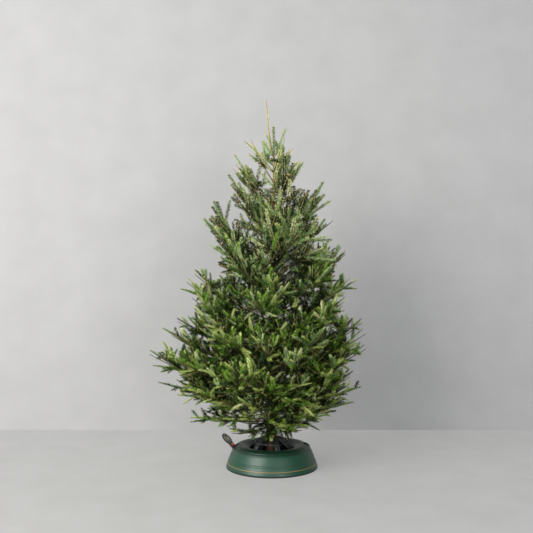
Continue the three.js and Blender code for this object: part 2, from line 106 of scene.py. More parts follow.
TANK = {"radius": 0.119, "wall": 0.003, "top": 0.090, "floor": 0.0113, "lip": 0.004,
        "foot": 0.010, "bend": 0.020, "middle": 0.010, "sides": 120}
TANK_RING = {"radius": 0.068, "half": 0.002, "height": 0.001}  # on the tank's floor
SLOT = {"from": -0.0095, "to": 0.062, "width": 0.038, "low": 0.066, "high": 0.130}
LINER = {"to": 0.036, "wall": 0.0015, "step": 0.002, "under": 0.001, "stations": 12}
PLATE_EDGE = {"inset": 0.94, "step": 0.12}  # how a flat plate's faces step in

ARM_AZIMUTHS = [216, 288, 0, 72, 144]
ARM_WIDTH = 0.026
ARM_BACK = [(0.112, 0.060), (0.112, 0.084), (0.104, 0.097), (0.092, 0.118), (0.070, 0.137),
            (0.052, 0.148), (0.038, 0.152), (0.0284, 0.151)]
ARM_FRONT = [(0.092, 0.060), (0.086, 0.074), (0.074, 0.094), (0.056, 0.115), (0.040, 0.128),
             (0.0284, 0.131)]
ARM_SECTION = {"stations": 44, "sides": 64, "square": 0.35}
ARM_RIBS = {"count": 5, "depth": 0.0016, "from": 0.8, "side_count": 4, "side_depth": 0.09}
EAR = {"inner": 0.098, "outer": 0.117, "low": 0.060, "high": 0.080, "thickness": 0.004}
PIN = {"radius": 0.0026, "place": (0.104, 0.071), "past": 0.002, "cap": 0.0006,
       "cap_share": 0.7, "sides": 16}
CABLE = {"height": 0.124, "radius": 0.0018, "across": 0.0894, "strands": 6, "lay": 0.013,
         "past": 0.002, "dip": 0.22, "stations": 560, "sides": 18}

# The pedal's hinge is at an azimuth and radius, and it leans to a heading of its own.
PEDAL = {"azimuth": 182, "radius": 0.170, "height": 0.075, "heading": 150, "rise": 42}
PEDAL_BARREL = {"radius": 0.007, "width": 0.034, "cap_at": 0.94, "cap_share": 0.85, "sides": 28}
PEDAL_PRONG = {"length": 0.060, "width": 0.009, "thickness": 0.010, "offset": 0.0105}
PEDAL_RIBS = {"count": 3, "from": 0.014, "step": 0.010, "length": 0.006, "out": 1.43,
              "half": 0.001, "height": 0.8}
PRONG_HALF = PEDAL_PRONG["thickness"] / 2
PEDAL_WEB = {"from": 0.032, "width": 0.013, "thickness": 0.008}
PEDAL_PAD = {"centre": 0.085, "length": 0.066, "width": 0.052, "thickness": 0.009}
# Rows of the pad and of its centre: how far in from the edge, and the height over the
# underside, below the top and over the top.
PAD_UNDER = [(0.022, 0), (0.003, 0), (0.0006, 0.0012), (0, 0.003)]
PAD_OVER = [(0, 0.002), (0.0008, 0.0004), (0.002, 0), (0.0035, 0), (0.005, 0.0006),
            (0.007, 0.0008), (0.022, 0.0008)]
CENTRE_ROWS = [(0, -0.001), (0, 0), (0.001, 0.0007), (0.004, 0.0011), (0.008, 0.0013)]
PEDAL_INLAY = {"length": 0.052, "width": 0.038, "border": 0.006, "height": 0.0014,
               "edge": 0.0006, "sunk": 0.0008, "outer": 0.6, "inner": 0.5}
PEDAL_PLATE = {"length": 0.022, "width": 0.009, "height": 0.0012, "over": 0.001}
PEDAL_LOCK = {"from": 0.035, "length": 0.013, "width": 0.013, "height": 0.004, "sunk": 0.001}
LOCK_PATCH = {"length": 0.004, "width": 0.7, "height": 0.0015}
OVAL = {"sides": 72, "least": 0.0005}
BLOCK = {"sides": 40, "stations": 21}
# How square the rounded blocks are: 0 is a box and 1 an egg.
BLOCK_EDGE = {"arm": 0.3, "plate": 0.35, "lock": 0.45, "patch": 0.4}
GAUGE_OUTLINE = [(0.160, 0.1136), (0.1622, 0.1136), (0.1743, 0.1106), (0.1845, 0.1035),
                 (0.190, 0.0975), (0.1926, 0.0992), (0.1865, 0.1065), (0.1755, 0.1148),
                 (0.163, 0.118), (0.160, 0.118)]
GAUGE = {"azimuth": 4.5, "width": 0.014}

# ---------------------------------------------------------------- sizes of the tree
# Height, sideways drift and radius.  The last stretch is the bare leader.
TRUNK = np.array([
    (0.0116, 0.000, 0.0310),
    (0.1900, 0.000, 0.0285),
    (0.6000, 0.003, 0.0220),
    (1.0000, 0.008, 0.0155),
    (1.3500, 0.011, 0.0085),
    (1.5300, 0.012, 0.0050),
    (1.5940, -0.004, 0.0036),
    (1.7030, -0.018, 0.0030),
    (1.8300, -0.028, 0.0018),
])
TRUNK_GRID = {"fine_to": 0.30, "fine": 150, "from": 0.302, "coarse": 420, "sides": 56}
TRUNK_SKIN = 0.985  # the share of the trunk's radius that its relief stands on
IN_ARMS = {"below": 0.19, "most": 0.01}  # where the arms grip, the relief stays low
# Relief of wood: number of waves, the finest wave's length, seed, and height as a share.
FURROWS = {"waves": 30, "finest": 0.009, "seed": 5, "height": 0.022, "stretch": (1, 1, 0.25)}
BLISTERS = {"waves": 30, "finest": 0.010, "seed": 6, "height": 0.07, "above": 1.1}
KNOTS = {"height": 0.07, "over": 0.01, "width": 0.012}  # the swelling at each tier
WOOD_WAVES = {"waves": 24, "finest": 0.012}
BOUGH_WOOD = {"root": 0.003, "by_length": 0.004, "late": (0.8, 0.0026), "end": 0.0012,
              "stations": 40, "sides": 10, "relief": 0.07}
SHOOT_WOOD = {"shortest": 0.02, "radii": (0.0024, 0.0015), "stations": 8, "sides": 6,
              "relief": 0.05, "seed_step": 50}
# Height, and how far the shoots' tips reach to the left (-X) and to the right (+X).
CROWN = np.array([
    (0.200, 0.290, 0.205),
    (0.330, 0.430, 0.370),
    (0.460, 0.560, 0.445),
    (0.560, 0.612, 0.465),
    (0.700, 0.525, 0.472),
    (0.840, 0.455, 0.450),
    (1.000, 0.395, 0.400),
    (1.150, 0.350, 0.330),
    (1.300, 0.300, 0.290),
    (1.400, 0.225, 0.250),
    (1.500, 0.192, 0.158),
    (1.620, 0.142, 0.072),
    (1.700, 0.060, 0.045),
])
# Name, height on the trunk, height of the tips, number of boughs, azimuth of the first.
TIERS = [
    ("a", 0.206, 0.212, 4, 228),
    ("b", 0.240, 0.335, 4, 350),
    ("c", 0.286, 0.440, 4, 20),
    ("d", 0.356, 0.560, 5, 180),
    ("e", 0.450, 0.660, 4, 2),
    ("f", 0.560, 0.790, 4, 222),
    ("g", 0.690, 0.920, 4, 180),
    ("h", 0.830, 1.060, 3, 5),
    ("i", 0.970, 1.210, 3, 182),
    ("j", 1.120, 1.350, 3, 345),
    ("k", 1.270, 1.490, 2, 178),
    ("l", 1.410, 1.640, 2, 350),
]
LIMB_TIER = "a"
BOUGH = {"sag": 0.1, "swing": 10, "shortest": 0.9, "rise": 0.032, "step": 0.007, "limb": 0.34}
SPRAY = {"length": 0.190, "most": 0.6}
SHRINK = {"from": 0.850, "to": 1.600, "least": 0.52}
FORK = {"step": 0.148, "offset": 0.007, "last": 0.88, "share": 0.66, "extra": 0.040,
        "least": 0.85, "spread": 0.3, "angle": 48, "low": -12, "high": 34, "bare": 0.040}

# ---------------------------------------------------------------- small tools
rng = np.random.default_rng(24)


def unit(vectors):
    """Vectors scaled to length 1 along the last axis."""
    return vectors / np.maximum(np.linalg.norm(vectors, axis=-1, keepdims=True), 1e-12)


def angles(count):
    """Even angles once round, the first of them 0."""
    return np.arange(count) * TURN / count


def between(pair, share):
    """The value that lies a share of the way from the first of a pair to the second."""
    return pair[0] + (pair[1] - pair[0]) * share


def spread(*columns):
    """Points from columns of coordinates that are spread over one grid."""
    return np.stack(np.broadcast_arrays(*columns), -1)


def add_piece(name, points, faces, finishes, slot, body=BODY, smooth=True, face_finish=None):
    """A mesh piece at the origin from an array of points and a list of arrays of faces.

    Each array of faces has one row a face, of 3 or 4 point numbers.  A piece with no slot is
    no part of the object.
    """
    blocks = [np.asarray(block, np.int32) for block in faces if len(block)]
    totals = np.concatenate([np.full(len(b), b.shape[1], np.int32) for b in blocks])
    corners = np.concatenate([b.ravel() for b in blocks])
    mesh = bpy.data.meshes.new(name)
    mesh.vertices.add(len(points))
    mesh.vertices.foreach_set("co", np.asarray(points, np.float32).ravel())
    mesh.loops.add(len(corners))
    mesh.loops.foreach_set("vertex_index", corners)
    mesh.polygons.add(len(totals))
    starts = np.concatenate([[0], np.cumsum(totals)[:-1]]).astype(np.int32)
    mesh.polygons.foreach_set("loop_start", starts)
    mesh.polygons.foreach_set("use_smooth", np.full(len(totals), smooth))
    for finish in finishes:
        mesh.materials.append(finish)
    if face_finish is not None:
        mesh.polygons.foreach_set("material_index", np.asarray(face_finish, np.int32))
    mesh.update(calc_edges=True)
    piece = bpy.data.objects.new(name, mesh)
    scene.collection.objects.link(piece)
    if slot is not None:
        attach(piece, body)
    return piece


def grid_faces(rows, columns, close_rows=False):
    """Quads of a grid of points that is closed round its columns, and round its rows if told."""
    row = np.arange(rows if close_rows else rows - 1)[:, None]
    column = np.arange(columns)[None, :]
    along = (row + 1) % rows
    beside = (column + 1) % columns
    corners = [row * columns + column, row * columns + beside,
               along * columns + beside, along * columns + column]
    return np.stack(np.broadcast_arrays(*corners), -1).reshape(-1, 4)


def fan(centre, ring, outward):
    """Triangles from a centre point to a closed ring of point numbers."""
    ring = np.asarray(ring)
    after = np.roll(ring, -1)
    middle = np.full(len(ring), centre)
    return np.stack([middle, ring, after] if outward else [middle, after, ring], -1)


def capped_tube(grid, flip=False):
    """Points and faces of a tube from a grid of rings, its two ends closed round their middles."""
    rows, columns = grid.shape[:2]
    points = np.concatenate([grid.reshape(-1, 3), grid[:1].mean(1), grid[-1:].mean(1)])
    first = np.arange(columns)
    last = first + (rows - 1) * columns
    count = rows * columns
    faces = [grid_faces(rows, columns), fan(count, first, False), fan(count + 1, last, True)]
    if flip:
        faces = [block[:, ::-1] for block in faces]
    return points, faces


def ring_tube(grid):
    """Points and faces of a tube from a grid of rings, its last ring joined to its first."""
    return grid.reshape(-1, 3), [grid_faces(*grid.shape[:2], close_rows=True)]


def merged(parts):
    """Several lots of points and faces as one."""
    points, blocks, start = [], [], 0
    for part_points, part_faces in parts:
        points.append(part_points)
        blocks += [np.asarray(block) + start for block in part_faces]
        start += len(part_points)
    return np.concatenate(points), blocks


def repeated(pattern, count, each):
    """The faces of one small shape for a number of such shapes with so many points each."""
    return (np.arange(count)[:, None, None] * each + pattern).reshape(-1, pattern.shape[1])


def softened(points, passes=3, closed=False):
    """A line with its corners cut off, a quarter of each side at a time, pass after pass."""
    points = np.asarray(points, float)
    for _ in range(passes):
        after = np.roll(points, -1, 0) if closed else points[1:]
        before = points if closed else points[:-1]
        cut = np.stack([0.75 * before + 0.25 * after, 0.25 * before + 0.75 * after], 1)
        cut = cut.reshape(-1, points.shape[1])
        points = cut if closed else np.concatenate([points[:1], cut, points[-1:]])
    return points


def spaced(points, count, closed=False):
    """The same line with points at even distances along it."""
    points = np.asarray(points, float)
    if closed:
        points = np.concatenate([points, points[:1]])
    reached = np.concatenate([[0], np.cumsum(np.linalg.norm(np.diff(points, axis=0), axis=1))])
    stops = np.linspace(0, reached[-1], count, endpoint=not closed)
    return np.stack([np.interp(stops, reached, column) for column in points.T], -1)


def revolved(profile, sides):
    """A closed profile of radius and height turned round Z: the grid of points, row by side."""
    radius, height = profile[:, :1], profile[:, 1:]
    turned = angles(sides)
    return spread(radius * np.cos(turned), radius * np.sin(turned), height)


def radial(points, azimuth):
    """Points of radius, across and height turned to an azimuth."""
    angle = math.radians(azimuth)
    turned = np.array([(math.cos(angle), -math.sin(angle), 0),
                       (math.sin(angle), math.cos(angle), 0), (0, 0, 1)])
    return np.asarray(points) @ turned.T


def along_pedal(points):
    """Points along the pedal's level heading from its hinge, across it and up, put in place."""
    angle = math.radians(PEDAL["azimuth"])
    hinge = PEDAL["radius"] * np.array([math.cos(angle), math.sin(angle), 0])
    return radial(points, PEDAL["heading"]) + hinge


def waves(places, count, finest, seed):
    """A smooth random relief from -1 to 1: a sum of sine waves of random heading and phase."""
    draw = np.random.default_rng(seed)
    headings = unit(draw.normal(size=(count, places.shape[-1])))
    lengths = finest * (1 + 3 * draw.random(count))
    phases = TURN * draw.random(count)
    total = np.sin(places @ headings.T * (TURN / lengths) + phases)
    return total.sum(-1) / math.sqrt(count)


def cut_by(piece, cutter):
    """The piece with a cutter's shape taken out of it, worked out and kept as its mesh."""
    modifier = piece.modifiers.new("cut", "BOOLEAN")
    modifier.operation = "DIFFERENCE"
    modifier.object = cutter
    modifier.solver = "EXACT"
    bpy.context.view_layer.update()
    piece.data = bpy.data.meshes.new_from_object(
        piece.evaluated_get(bpy.context.evaluated_depsgraph_get()))
    piece.modifiers.clear()
    bpy.data.objects.remove(cutter)


# ---------------------------------------------------------------- effects shared by finishes
def linear(red, green, blue):
    """A colour from 0 to 255 a channel as the shaders' linear values."""
    channel = np.array([red, green, blue]) / 255
    value = np.where(channel <= 0.04045, channel / 12.92, ((channel + 0.055) / 1.055) ** 2.4)
    return (*value, 1.0)


def new_group(name, inputs, outputs):
    """An empty shader node group with named sockets, and its first and last nodes."""
    group = bpy.data.node_groups.new(name, "ShaderNodeTree")
    for label, kind, value in inputs:
        socket = group.interface.new_socket(label, in_out="INPUT", socket_type=kind)
        socket.default_value = value
    for label, kind in outputs:
        group.interface.new_socket(label, in_out="OUTPUT", socket_type=kind)
    return group, group.nodes.new("NodeGroupInput"), group.nodes.new("NodeGroupOutput")


def node(tree, kind, values=(), links=()):
    """A node with some of its values set and some of its inputs linked."""
    made = tree.nodes.new(kind)
    for key, value in dict(values).items():
        if isinstance(key, str) and hasattr(made, key):
            setattr(made, key, value)
        else:
            made.inputs[key].default_value = value
    for key, source in dict(links).items():
        tree.links.new(source, made.inputs[key])
    return made


def mottle_group():
    """Two colours mixed by clouds of noise: large soft ones with finer ones over them."""
    group, first, last = new_group(
        "mottle",
        [("Colour", "NodeSocketColor", (1, 1, 1, 1)), ("Second", "NodeSocketColor", (0, 0, 0, 1)),
         ("Scale", "NodeSocketFloat", 20.0), ("Amount", "NodeSocketFloat", 0.5)],
        [("Colour", "NodeSocketColor"), ("Mask", "NodeSocketFloat")])
    where = node(group, "ShaderNodeTexCoord").outputs["Object"]
    noise = node(group, "ShaderNodeTexNoise", {"Detail": 5.0, "Roughness": 0.6},
                 {"Vector": where, "Scale": first.outputs["Scale"]})
    sharper = node(group, "ShaderNodeMapRange", {"From Min": 0.35, "From Max": 0.65},
                   {"Value": noise.outputs["Fac"]})
    share = node(group, "ShaderNodeMath", {"operation": "MULTIPLY"},
                 {0: sharper.outputs["Result"], 1: first.outputs["Amount"]})
    mix = node(group, "ShaderNodeMix", {"data_type": "RGBA"},
               {"Factor": share.outputs[0], 6: first.outputs["Colour"],
                7: first.outputs["Second"]})
    group.links.new(mix.outputs[2], last.inputs["Colour"])
    group.links.new(share.outputs[0], last.inputs["Mask"])
    return group


def grain_group():
    """A fine moulded grain as a height, and a roughness that wanders a little with it."""
    group, first, last = new_group(
        "moulded_grain",
        [("Scale", "NodeSocketFloat", 900.0), ("Roughness", "NodeSocketFloat", 0.4),
         ("Wander", "NodeSocketFloat", 0.1)],
        [("Height", "NodeSocketFloat"), ("Roughness", "NodeSocketFloat")])
    where = node(group, "ShaderNodeTexCoord").outputs["Object"]
    fine = node(group, "ShaderNodeTexNoise", {"Detail": 2.0},
                {"Vector": where, "Scale": first.outputs["Scale"]})
    broad = node(group, "ShaderNodeTexNoise", {"Scale": 14.0, "Detail": 4.0}, {"Vector": where})
    shift = node(group, "ShaderNodeMath", {"operation": "SUBTRACT", 1: 0.5},
                 {0: broad.outputs["Fac"]})
    rough = node(group, "ShaderNodeMath", {"operation": "MULTIPLY_ADD"},
                 {0: shift.outputs[0], 1: first.outputs["Wander"], 2: first.outputs["Roughness"]})
    group.links.new(fine.outputs["Fac"], last.inputs["Height"])
    group.links.new(rough.outputs[0], last.inputs["Roughness"])
    return group


def dust_group():
    """Dust that settles in patches where a surface faces up."""
    group, first, last = new_group(
        "settled_dust",
        [("Colour", "NodeSocketColor", (1, 1, 1, 1)), ("Amount", "NodeSocketFloat", 0.2)],
        [("Colour", "NodeSocketColor")])
    facing = node(group, "ShaderNodeSeparateXYZ", (),
                  {0: node(group, "ShaderNodeNewGeometry").outputs["Normal"]})
    level = node(group, "ShaderNodeMapRange", {"From Min": 0.3, "From Max": 1.0},
                 {"Value": facing.outputs["Z"]})
    where = node(group, "ShaderNodeTexCoord").outputs["Object"]
    patches = node(group, "ShaderNodeTexNoise", {"Scale": 60.0, "Detail": 6.0}, {"Vector": where})
    there = node(group, "ShaderNodeMath", {"operation": "MULTIPLY"},
                 {0: level.outputs["Result"], 1: patches.outputs["Fac"]})
    share = node(group, "ShaderNodeMath", {"operation": "MULTIPLY"},
                 {0: there.outputs[0], 1: first.outputs["Amount"]})
    mix = node(group, "ShaderNodeMix", {"data_type": "RGBA", 7: linear(150, 146, 136)},
               {"Factor": share.outputs[0], 6: first.outputs["Colour"]})
    group.links.new(mix.outputs[2], last.inputs["Colour"])
    return group


MOTTLE = mottle_group()
GRAIN = grain_group()
DUST = dust_group()


def new_finish(name, **values):
    """A material with its Principled shader's plain values set, and its tree and shader."""
    material = bpy.data.materials.new(name)
    material.use_nodes = True
    shader = material.node_tree.nodes["Principled BSDF"]
    for key, value in values.items():
        shader.inputs[key.replace("_", " ")].default_value = value
    return material, material.node_tree, shader


def placed(tree, group, values):
    """A node group placed in a material's tree with its own values."""
    made = tree.nodes.new("ShaderNodeGroup")
    made.node_tree = group
    for key, value in values.items():
        made.inputs[key].default_value = value
    return made


def plastic(name, colour, second, rough, amount=0.5, dust=0.15, depth=0.00004, top=None,
            **values):
    """Moulded plastic: mottled colour, fine grain, a roughness that wanders, settled dust and,
    between two heights, a turn to another colour: painted shade over the top of the piece."""
    material, tree, shader = new_finish(name, **values)
    tint = placed(tree, MOTTLE, {"Colour": colour, "Second": second, "Scale": 9.0,
                                 "Amount": amount})
    dusty = placed(tree, DUST, {"Amount": dust})
    grain = placed(tree, GRAIN, {"Scale": 900.0, "Roughness": rough, "Wander": 0.25})
    bump = node(tree, "ShaderNodeBump", {"Strength": 0.5, "Distance": depth},
                {"Height": grain.outputs["Height"]})
    tree.links.new(tint.outputs["Colour"], dusty.inputs["Colour"])
    colour_out = dusty.outputs["Colour"]
    # Painted shade: between two heights the base colour turns to a darker one.
    if top:
        low, high, painted_shade_colour = top
        where = node(tree, "ShaderNodeTexCoord").outputs["Object"]
        height = node(tree, "ShaderNodeSeparateXYZ", (), {0: where}).outputs["Z"]
        share = node(tree, "ShaderNodeMapRange", {"From Min": low, "From Max": high},
                     {"Value": height})
        mix = node(tree, "ShaderNodeMix", {"data_type": "RGBA", 7: painted_shade_colour},
                   {"Factor": share.outputs["Result"], 6: colour_out})
        colour_out = mix.outputs[2]
    tree.links.new(colour_out, shader.inputs["Base Color"])
    tree.links.new(grain.outputs["Roughness"], shader.inputs["Roughness"])
    tree.links.new(bump.outputs["Normal"], shader.inputs["Normal"])
    return material


def bark(name, colour, second, lichen, scale):
    """Bark: two browns in clouds that turn to tan young wood high up, pale flecks, and fine
    cracks as bump over the real relief."""
    material, tree, shader = new_finish(name, Roughness=0.85)
    tint = placed(tree, MOTTLE, {"Colour": colour, "Second": second, "Scale": scale,
                                 "Amount": 1.0})
    fleck = placed(tree, MOTTLE, {"Second": lichen, "Scale": scale * 4.5, "Amount": 0.4})
    where = node(tree, "ShaderNodeTexCoord").outputs["Object"]
    cracks = node(tree, "ShaderNodeTexVoronoi",
                  {"feature": "DISTANCE_TO_EDGE", "Scale": scale * 9},
                  {"Vector": where})
    edge = node(tree, "ShaderNodeMapRange", {"From Min": 0.0, "From Max": 0.12},
                {"Value": cracks.outputs["Distance"]})
    bump = node(tree, "ShaderNodeBump", {"Strength": 0.6, "Distance": 0.0008},
                {"Height": edge.outputs["Result"]})
    height = node(tree, "ShaderNodeSeparateXYZ", (), {0: where}).outputs["Z"]
    youth = node(tree, "ShaderNodeMapRange", {"From Min": YOUNG_WOOD[0],
                                              "From Max": YOUNG_WOOD[1]}, {"Value": height})
    aged = node(tree, "ShaderNodeMix", {"data_type": "RGBA", 7: linear(196, 168, 108)},
                {"Factor": youth.outputs["Result"], 6: tint.outputs["Colour"]})
    tree.links.new(aged.outputs[2], fleck.inputs["Colour"])
    tree.links.new(fleck.outputs["Colour"], shader.inputs["Base Color"])
    tree.links.new(bump.outputs["Normal"], shader.inputs["Normal"])
    return material


def plain(name, colour, rough, **values):
    """A finish of one colour, for things far smaller than any pattern on them."""
    return new_finish(name, **{"Base_Color": colour, "Roughness": rough, **values})[0]


YOUNG_WOOD = (1.20, 1.58)  # heights between which the bark turns to young wood
# From 0.086 m up the shell's shoulder turns darker: painted shade under the crown.
GREEN_PLASTIC = plastic("green_plastic", linear(14, 68, 46), linear(11, 58, 39), 0.42,
                        dust=0.02, top=(0.086, 0.100, linear(6, 40, 25)),
                        Coat_Weight=0.2, Coat_Roughness=0.34)
BLACK_PLASTIC = plastic("black_plastic", linear(22, 23, 25), linear(34, 34, 36), 0.45)
ARM_PLASTIC = plastic("arm_plastic", linear(26, 27, 31), linear(44, 45, 50), 0.38)
PEDAL_PLASTIC = plastic("pedal_plastic", linear(30, 33, 44), linear(44, 48, 60), 0.4)
INLAY_PLASTIC = plastic("inlay_plastic", linear(148, 142, 126), linear(124, 118, 104), 0.5)
CENTRE_PLASTIC = plastic("centre_plastic", linear(46, 44, 44), linear(60, 58, 56), 0.22)
RED_PLASTIC = plastic("red_plastic", linear(224, 44, 22), linear(190, 30, 14), 0.35)
WHITE_PLASTIC = plastic("white_plastic", linear(226, 222, 210), linear(206, 200, 188), 0.4)
GOLD_PAINT = plastic("gold_paint", linear(176, 138, 74), linear(150, 112, 60), 0.35)
STEEL = plastic("steel_wire", linear(100, 106, 100), linear(70, 74, 70), 0.40, Metallic=0.85)
TRUNK_BARK = bark("trunk_bark", linear(66, 42, 22), linear(34, 22, 13),
                  linear(108, 90, 68), 26.0)
BOUGH_BARK = bark("bough_bark", linear(80, 62, 38), linear(54, 42, 26),
                  linear(112, 94, 66), 60.0)


# ---------------------------------------------------------------- stand
def ridges(places, form):
    """Ridges, or grooves where they stand in: a bell curve round each place of the form."""
    away = (places[:, None] - np.array(form["at"])) / form["width"]
    return form["proud"] * np.exp(-away**2).sum(1)


def shell_profile():
    """The shell's section: its softened outline with grooves, crease and beads pressed in along
    the outline's own normal, and the same line a wall's thickness inside it."""
    line = spaced(softened(SHELL_OUTLINE), SHELL_STATIONS)
    ahead = np.gradient(line, axis=0)
    normal = unit(np.stack([ahead[:, 1], -ahead[:, 0]], -1))
    radius, height = line.T
    on_slope = ridges(height, SHELL_GROOVES) + ridges(height, SHELL_CREASE)
    press = ridges(radius, SHELL_BEADS) + on_slope * (radius > SLOPE_FROM)
    outer = line + normal * press[:, None]
    inner = line - normal * SHELL_WALL
    inner[:, 1] = np.maximum(inner[:, 1], BASE["thickness"] + GAP)
    return np.concatenate([outer, inner[::-1]])


def box_points(low, high):
    """The eight corners and six faces of a box, its faces pointing out."""
    corners = np.array([[(low, high)[bit >> axis & 1][axis] for axis in range(3)]
                        for bit in range(8)])
    faces = [(0, 2, 3, 1), (4, 5, 7, 6), (0, 1, 5, 4), (2, 6, 7, 3), (0, 4, 6, 2), (1, 3, 7, 5)]
    return corners, [np.array(faces)]


def build_shell():
    """The shell: its section turned round Z, with a slot for the pedal cut through it."""
    grid = revolved(shell_profile(), SHELL_SIDES)
    shell = add_piece("shell", *ring_tube(grid), [GREEN_PLASTIC], "shell")
    half = SLOT["width"] / 2
    corners, box_faces = box_points((SLOT["from"], -half, SLOT["low"]),
                                    (SLOT["to"], half, SLOT["high"]))
    cut_by(shell, add_piece("slot_cutter", along_pedal(corners), box_faces, [], None))
    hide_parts("stand_shell")


def outline_radius(height):
    """The radius of the shell's slope at a height."""
    (low_radius, low), (high_radius, high) = SHELL_OUTLINE[1:3]
    return low_radius + (high_radius - low_radius) * (height - low) / (high - low)


def build_gold_line():
    """A thin painted line round the slope: a flat ring that stands a hair proud of the shell."""
    low, high, proud = (GOLD_LINE[key] for key in ("low", "high", "proud"))
    corners = [(low, -proud), (low, proud), (high, proud), (high, -proud)]
    profile = np.array([(outline_radius(height) + out, height) for height, out in corners])
    add_piece("gold_line", *ring_tube(revolved(profile, SHELL_SIDES)), [GOLD_PAINT], "shell")


def build_base():
    """The base plate: a disc with a rounded rim, turned from its middle out and back."""
    radius, thickness, bend = (BASE[key] for key in ("radius", "thickness", "round"))
    rim = [(radius - bend, 0), (radius, 0), (radius, bend)]
    top = [(radius, thickness - bend), (radius, thickness), (radius - bend, thickness)]
    under = [(inner, 0) for inner in BASE["inner"]]
    over = [(inner, thickness) for inner in BASE["inner"][::-1]]
    profile = np.concatenate([under, softened(rim), softened(top), over])
    points, faces = capped_tube(revolved(profile, BASE["sides"]))
    base = add_piece("base", points, faces, [BLACK_PLASTIC], "base")
    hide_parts("base_plate")


def build_tank():
    """The tank: a cup with a rolled lip and a low ring on its floor, turned from the middle of
    its underside out and back, and two ears beside the foot of each arm."""
    radius, top, floor, lip = (TANK[key] for key in ("radius", "top", "floor", "lip"))
    foot, bend, middle = (TANK[key] for key in ("foot", "bend", "middle"))
    inner, under = radius - TANK["wall"], BASE["thickness"] + GAP
    outside = softened([(radius - foot, under), (radius, under), (radius, under + foot)])
    rolled = softened([(radius, top - lip), (radius, top), (inner, top), (inner, top - lip)])
    inside = softened([(inner, floor + bend), (inner, floor), (inner - bend, floor)])
    ring, half = TANK_RING["radius"], TANK_RING["half"]
    bottom = [(ring + half, floor), (ring, floor + TANK_RING["height"]), (ring - half, floor),
              (middle, floor)]
    profile = np.concatenate([[(middle, under)], outside, rolled, inside, bottom])
    parts = [capped_tube(revolved(profile, TANK["sides"]))]
    ear = softened([(EAR["outer"], EAR["low"]), (EAR["outer"], EAR["high"]),
                    (EAR["inner"], EAR["high"]), (EAR["inner"], EAR["low"])], 2, closed=True)
    near = ARM_WIDTH / 2 + GAP
    far = near + EAR["thickness"]
    for azimuth in ARM_AZIMUTHS:
        for low, high in ((-far, -near), (near, far)):
            points, faces = plate(ear, low, high)
            parts.append((radial(points, azimuth), faces))
    tank = add_piece("tank", *merged(parts), [BLACK_PLASTIC], "tank")
    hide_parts("water_tank")


def plate(outline, low, high):
    """A flat plate: an outline along +X and up, carried across from one side to the other with
    a small step in at both faces.  An outline that runs the other way is turned round."""
    middle = outline.mean(0)
    inset = middle + (outline - middle) * PLATE_EDGE["inset"]
    step = (high - low) * PLATE_EDGE["step"]
    rows = [(inset, high), (outline, high - step), (outline, low + step), (inset, low)]
    grid = np.array([[(r, across, z) for r, z in line] for line, across in rows])
    area = np.sum(outline[:, 0] * np.roll(outline[:, 1], -1)
                  - outline[:, 1] * np.roll(outline[:, 0], -1))
    return capped_tube(grid, flip=area > 0)


def arm_points():
    """One arm: a rounded section between its front and back lines, carried from foot to head.

    Its back and its sides have ribs along their length: cosines of the place across them."""
    back, front = (spaced(softened(line, 2), ARM_SECTION["stations"])
                   for line in (ARM_BACK, ARM_FRONT))
    angle = angles(ARM_SECTION["sides"])

    def squared(values):
        """A wave with flat tops, so that the section is nearly a box."""
        return np.sign(values) * np.abs(values) ** ARM_SECTION["square"]

    across = ARM_WIDTH / 2 * squared(np.cos(angle))
    deep = 0.5 + 0.5 * squared(np.sin(angle))
    rib = 0.5 + 0.5 * np.cos(TURN * ARM_RIBS["count"] * across / ARM_WIDTH)
    rib *= np.clip((deep - ARM_RIBS["from"]) / (1 - ARM_RIBS["from"]), 0, 1) * ARM_RIBS["depth"]
    body = front[:, None, :] + (back - front)[:, None, :] * deep[None, :, None]
    body = body + unit(front - back)[:, None, :] * rib[None, :, None]
    side_rib = 0.5 + 0.5 * np.cos(TURN * ARM_RIBS["side_count"] * deep)
    across = across * (1 - ARM_RIBS["side_depth"] * side_rib)
    return capped_tube(spread(body[..., 0], across, body[..., 1]), flip=True)


def turned_pin(stops, radii, sides, centre=(0, 0)):
    """A round pin along Y: a radius at each stop, about a centre's place along X and up."""
    angle = angles(sides)
    radii = radii[:, None]
    return capped_tube(spread(centre[0] + radii * np.cos(angle), stops[:, None],
                              centre[1] + radii * np.sin(angle)), flip=True)


def build_arms():
    """The five arms, each turned to its azimuth, with a steel pin through its foot."""
    points, faces = arm_points()
    reach = ARM_WIDTH / 2 + EAR["thickness"] + PIN["past"]
    end = reach + PIN["cap"]
    radii = PIN["radius"] * np.array([PIN["cap_share"], 1, 1, PIN["cap_share"]])
    pin_points, pin_faces = turned_pin(np.array([-end, -reach, reach, end]), radii,
                                       PIN["sides"], PIN["place"])
    pins = []
    for i, azimuth in enumerate(ARM_AZIMUTHS):
        arm = add_piece(f"arm_body_{i + 1}", radial(points, azimuth), faces, [ARM_PLASTIC],
                        "arms")
        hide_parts(f"arm_{i + 1}")
        pins.append((radial(pin_points, azimuth), pin_faces))
    add_piece("arm_pins", *merged(pins), [STEEL], "cable")


def strands(reached):
    """Angles and radii round a wire rope at distances along it: the radius dips between the
    strands, which turn once in each lay's length."""
    angle = np.broadcast_to(angles(CABLE["sides"]), (len(reached), CABLE["sides"]))
    turned = angle - TURN * reached[:, None] / CABLE["lay"]
    dip = np.abs(np.sin(turned * CABLE["strands"] / 2))
    return angle, CABLE["radius"] * (1 - CABLE["dip"] + CABLE["dip"] * dip)


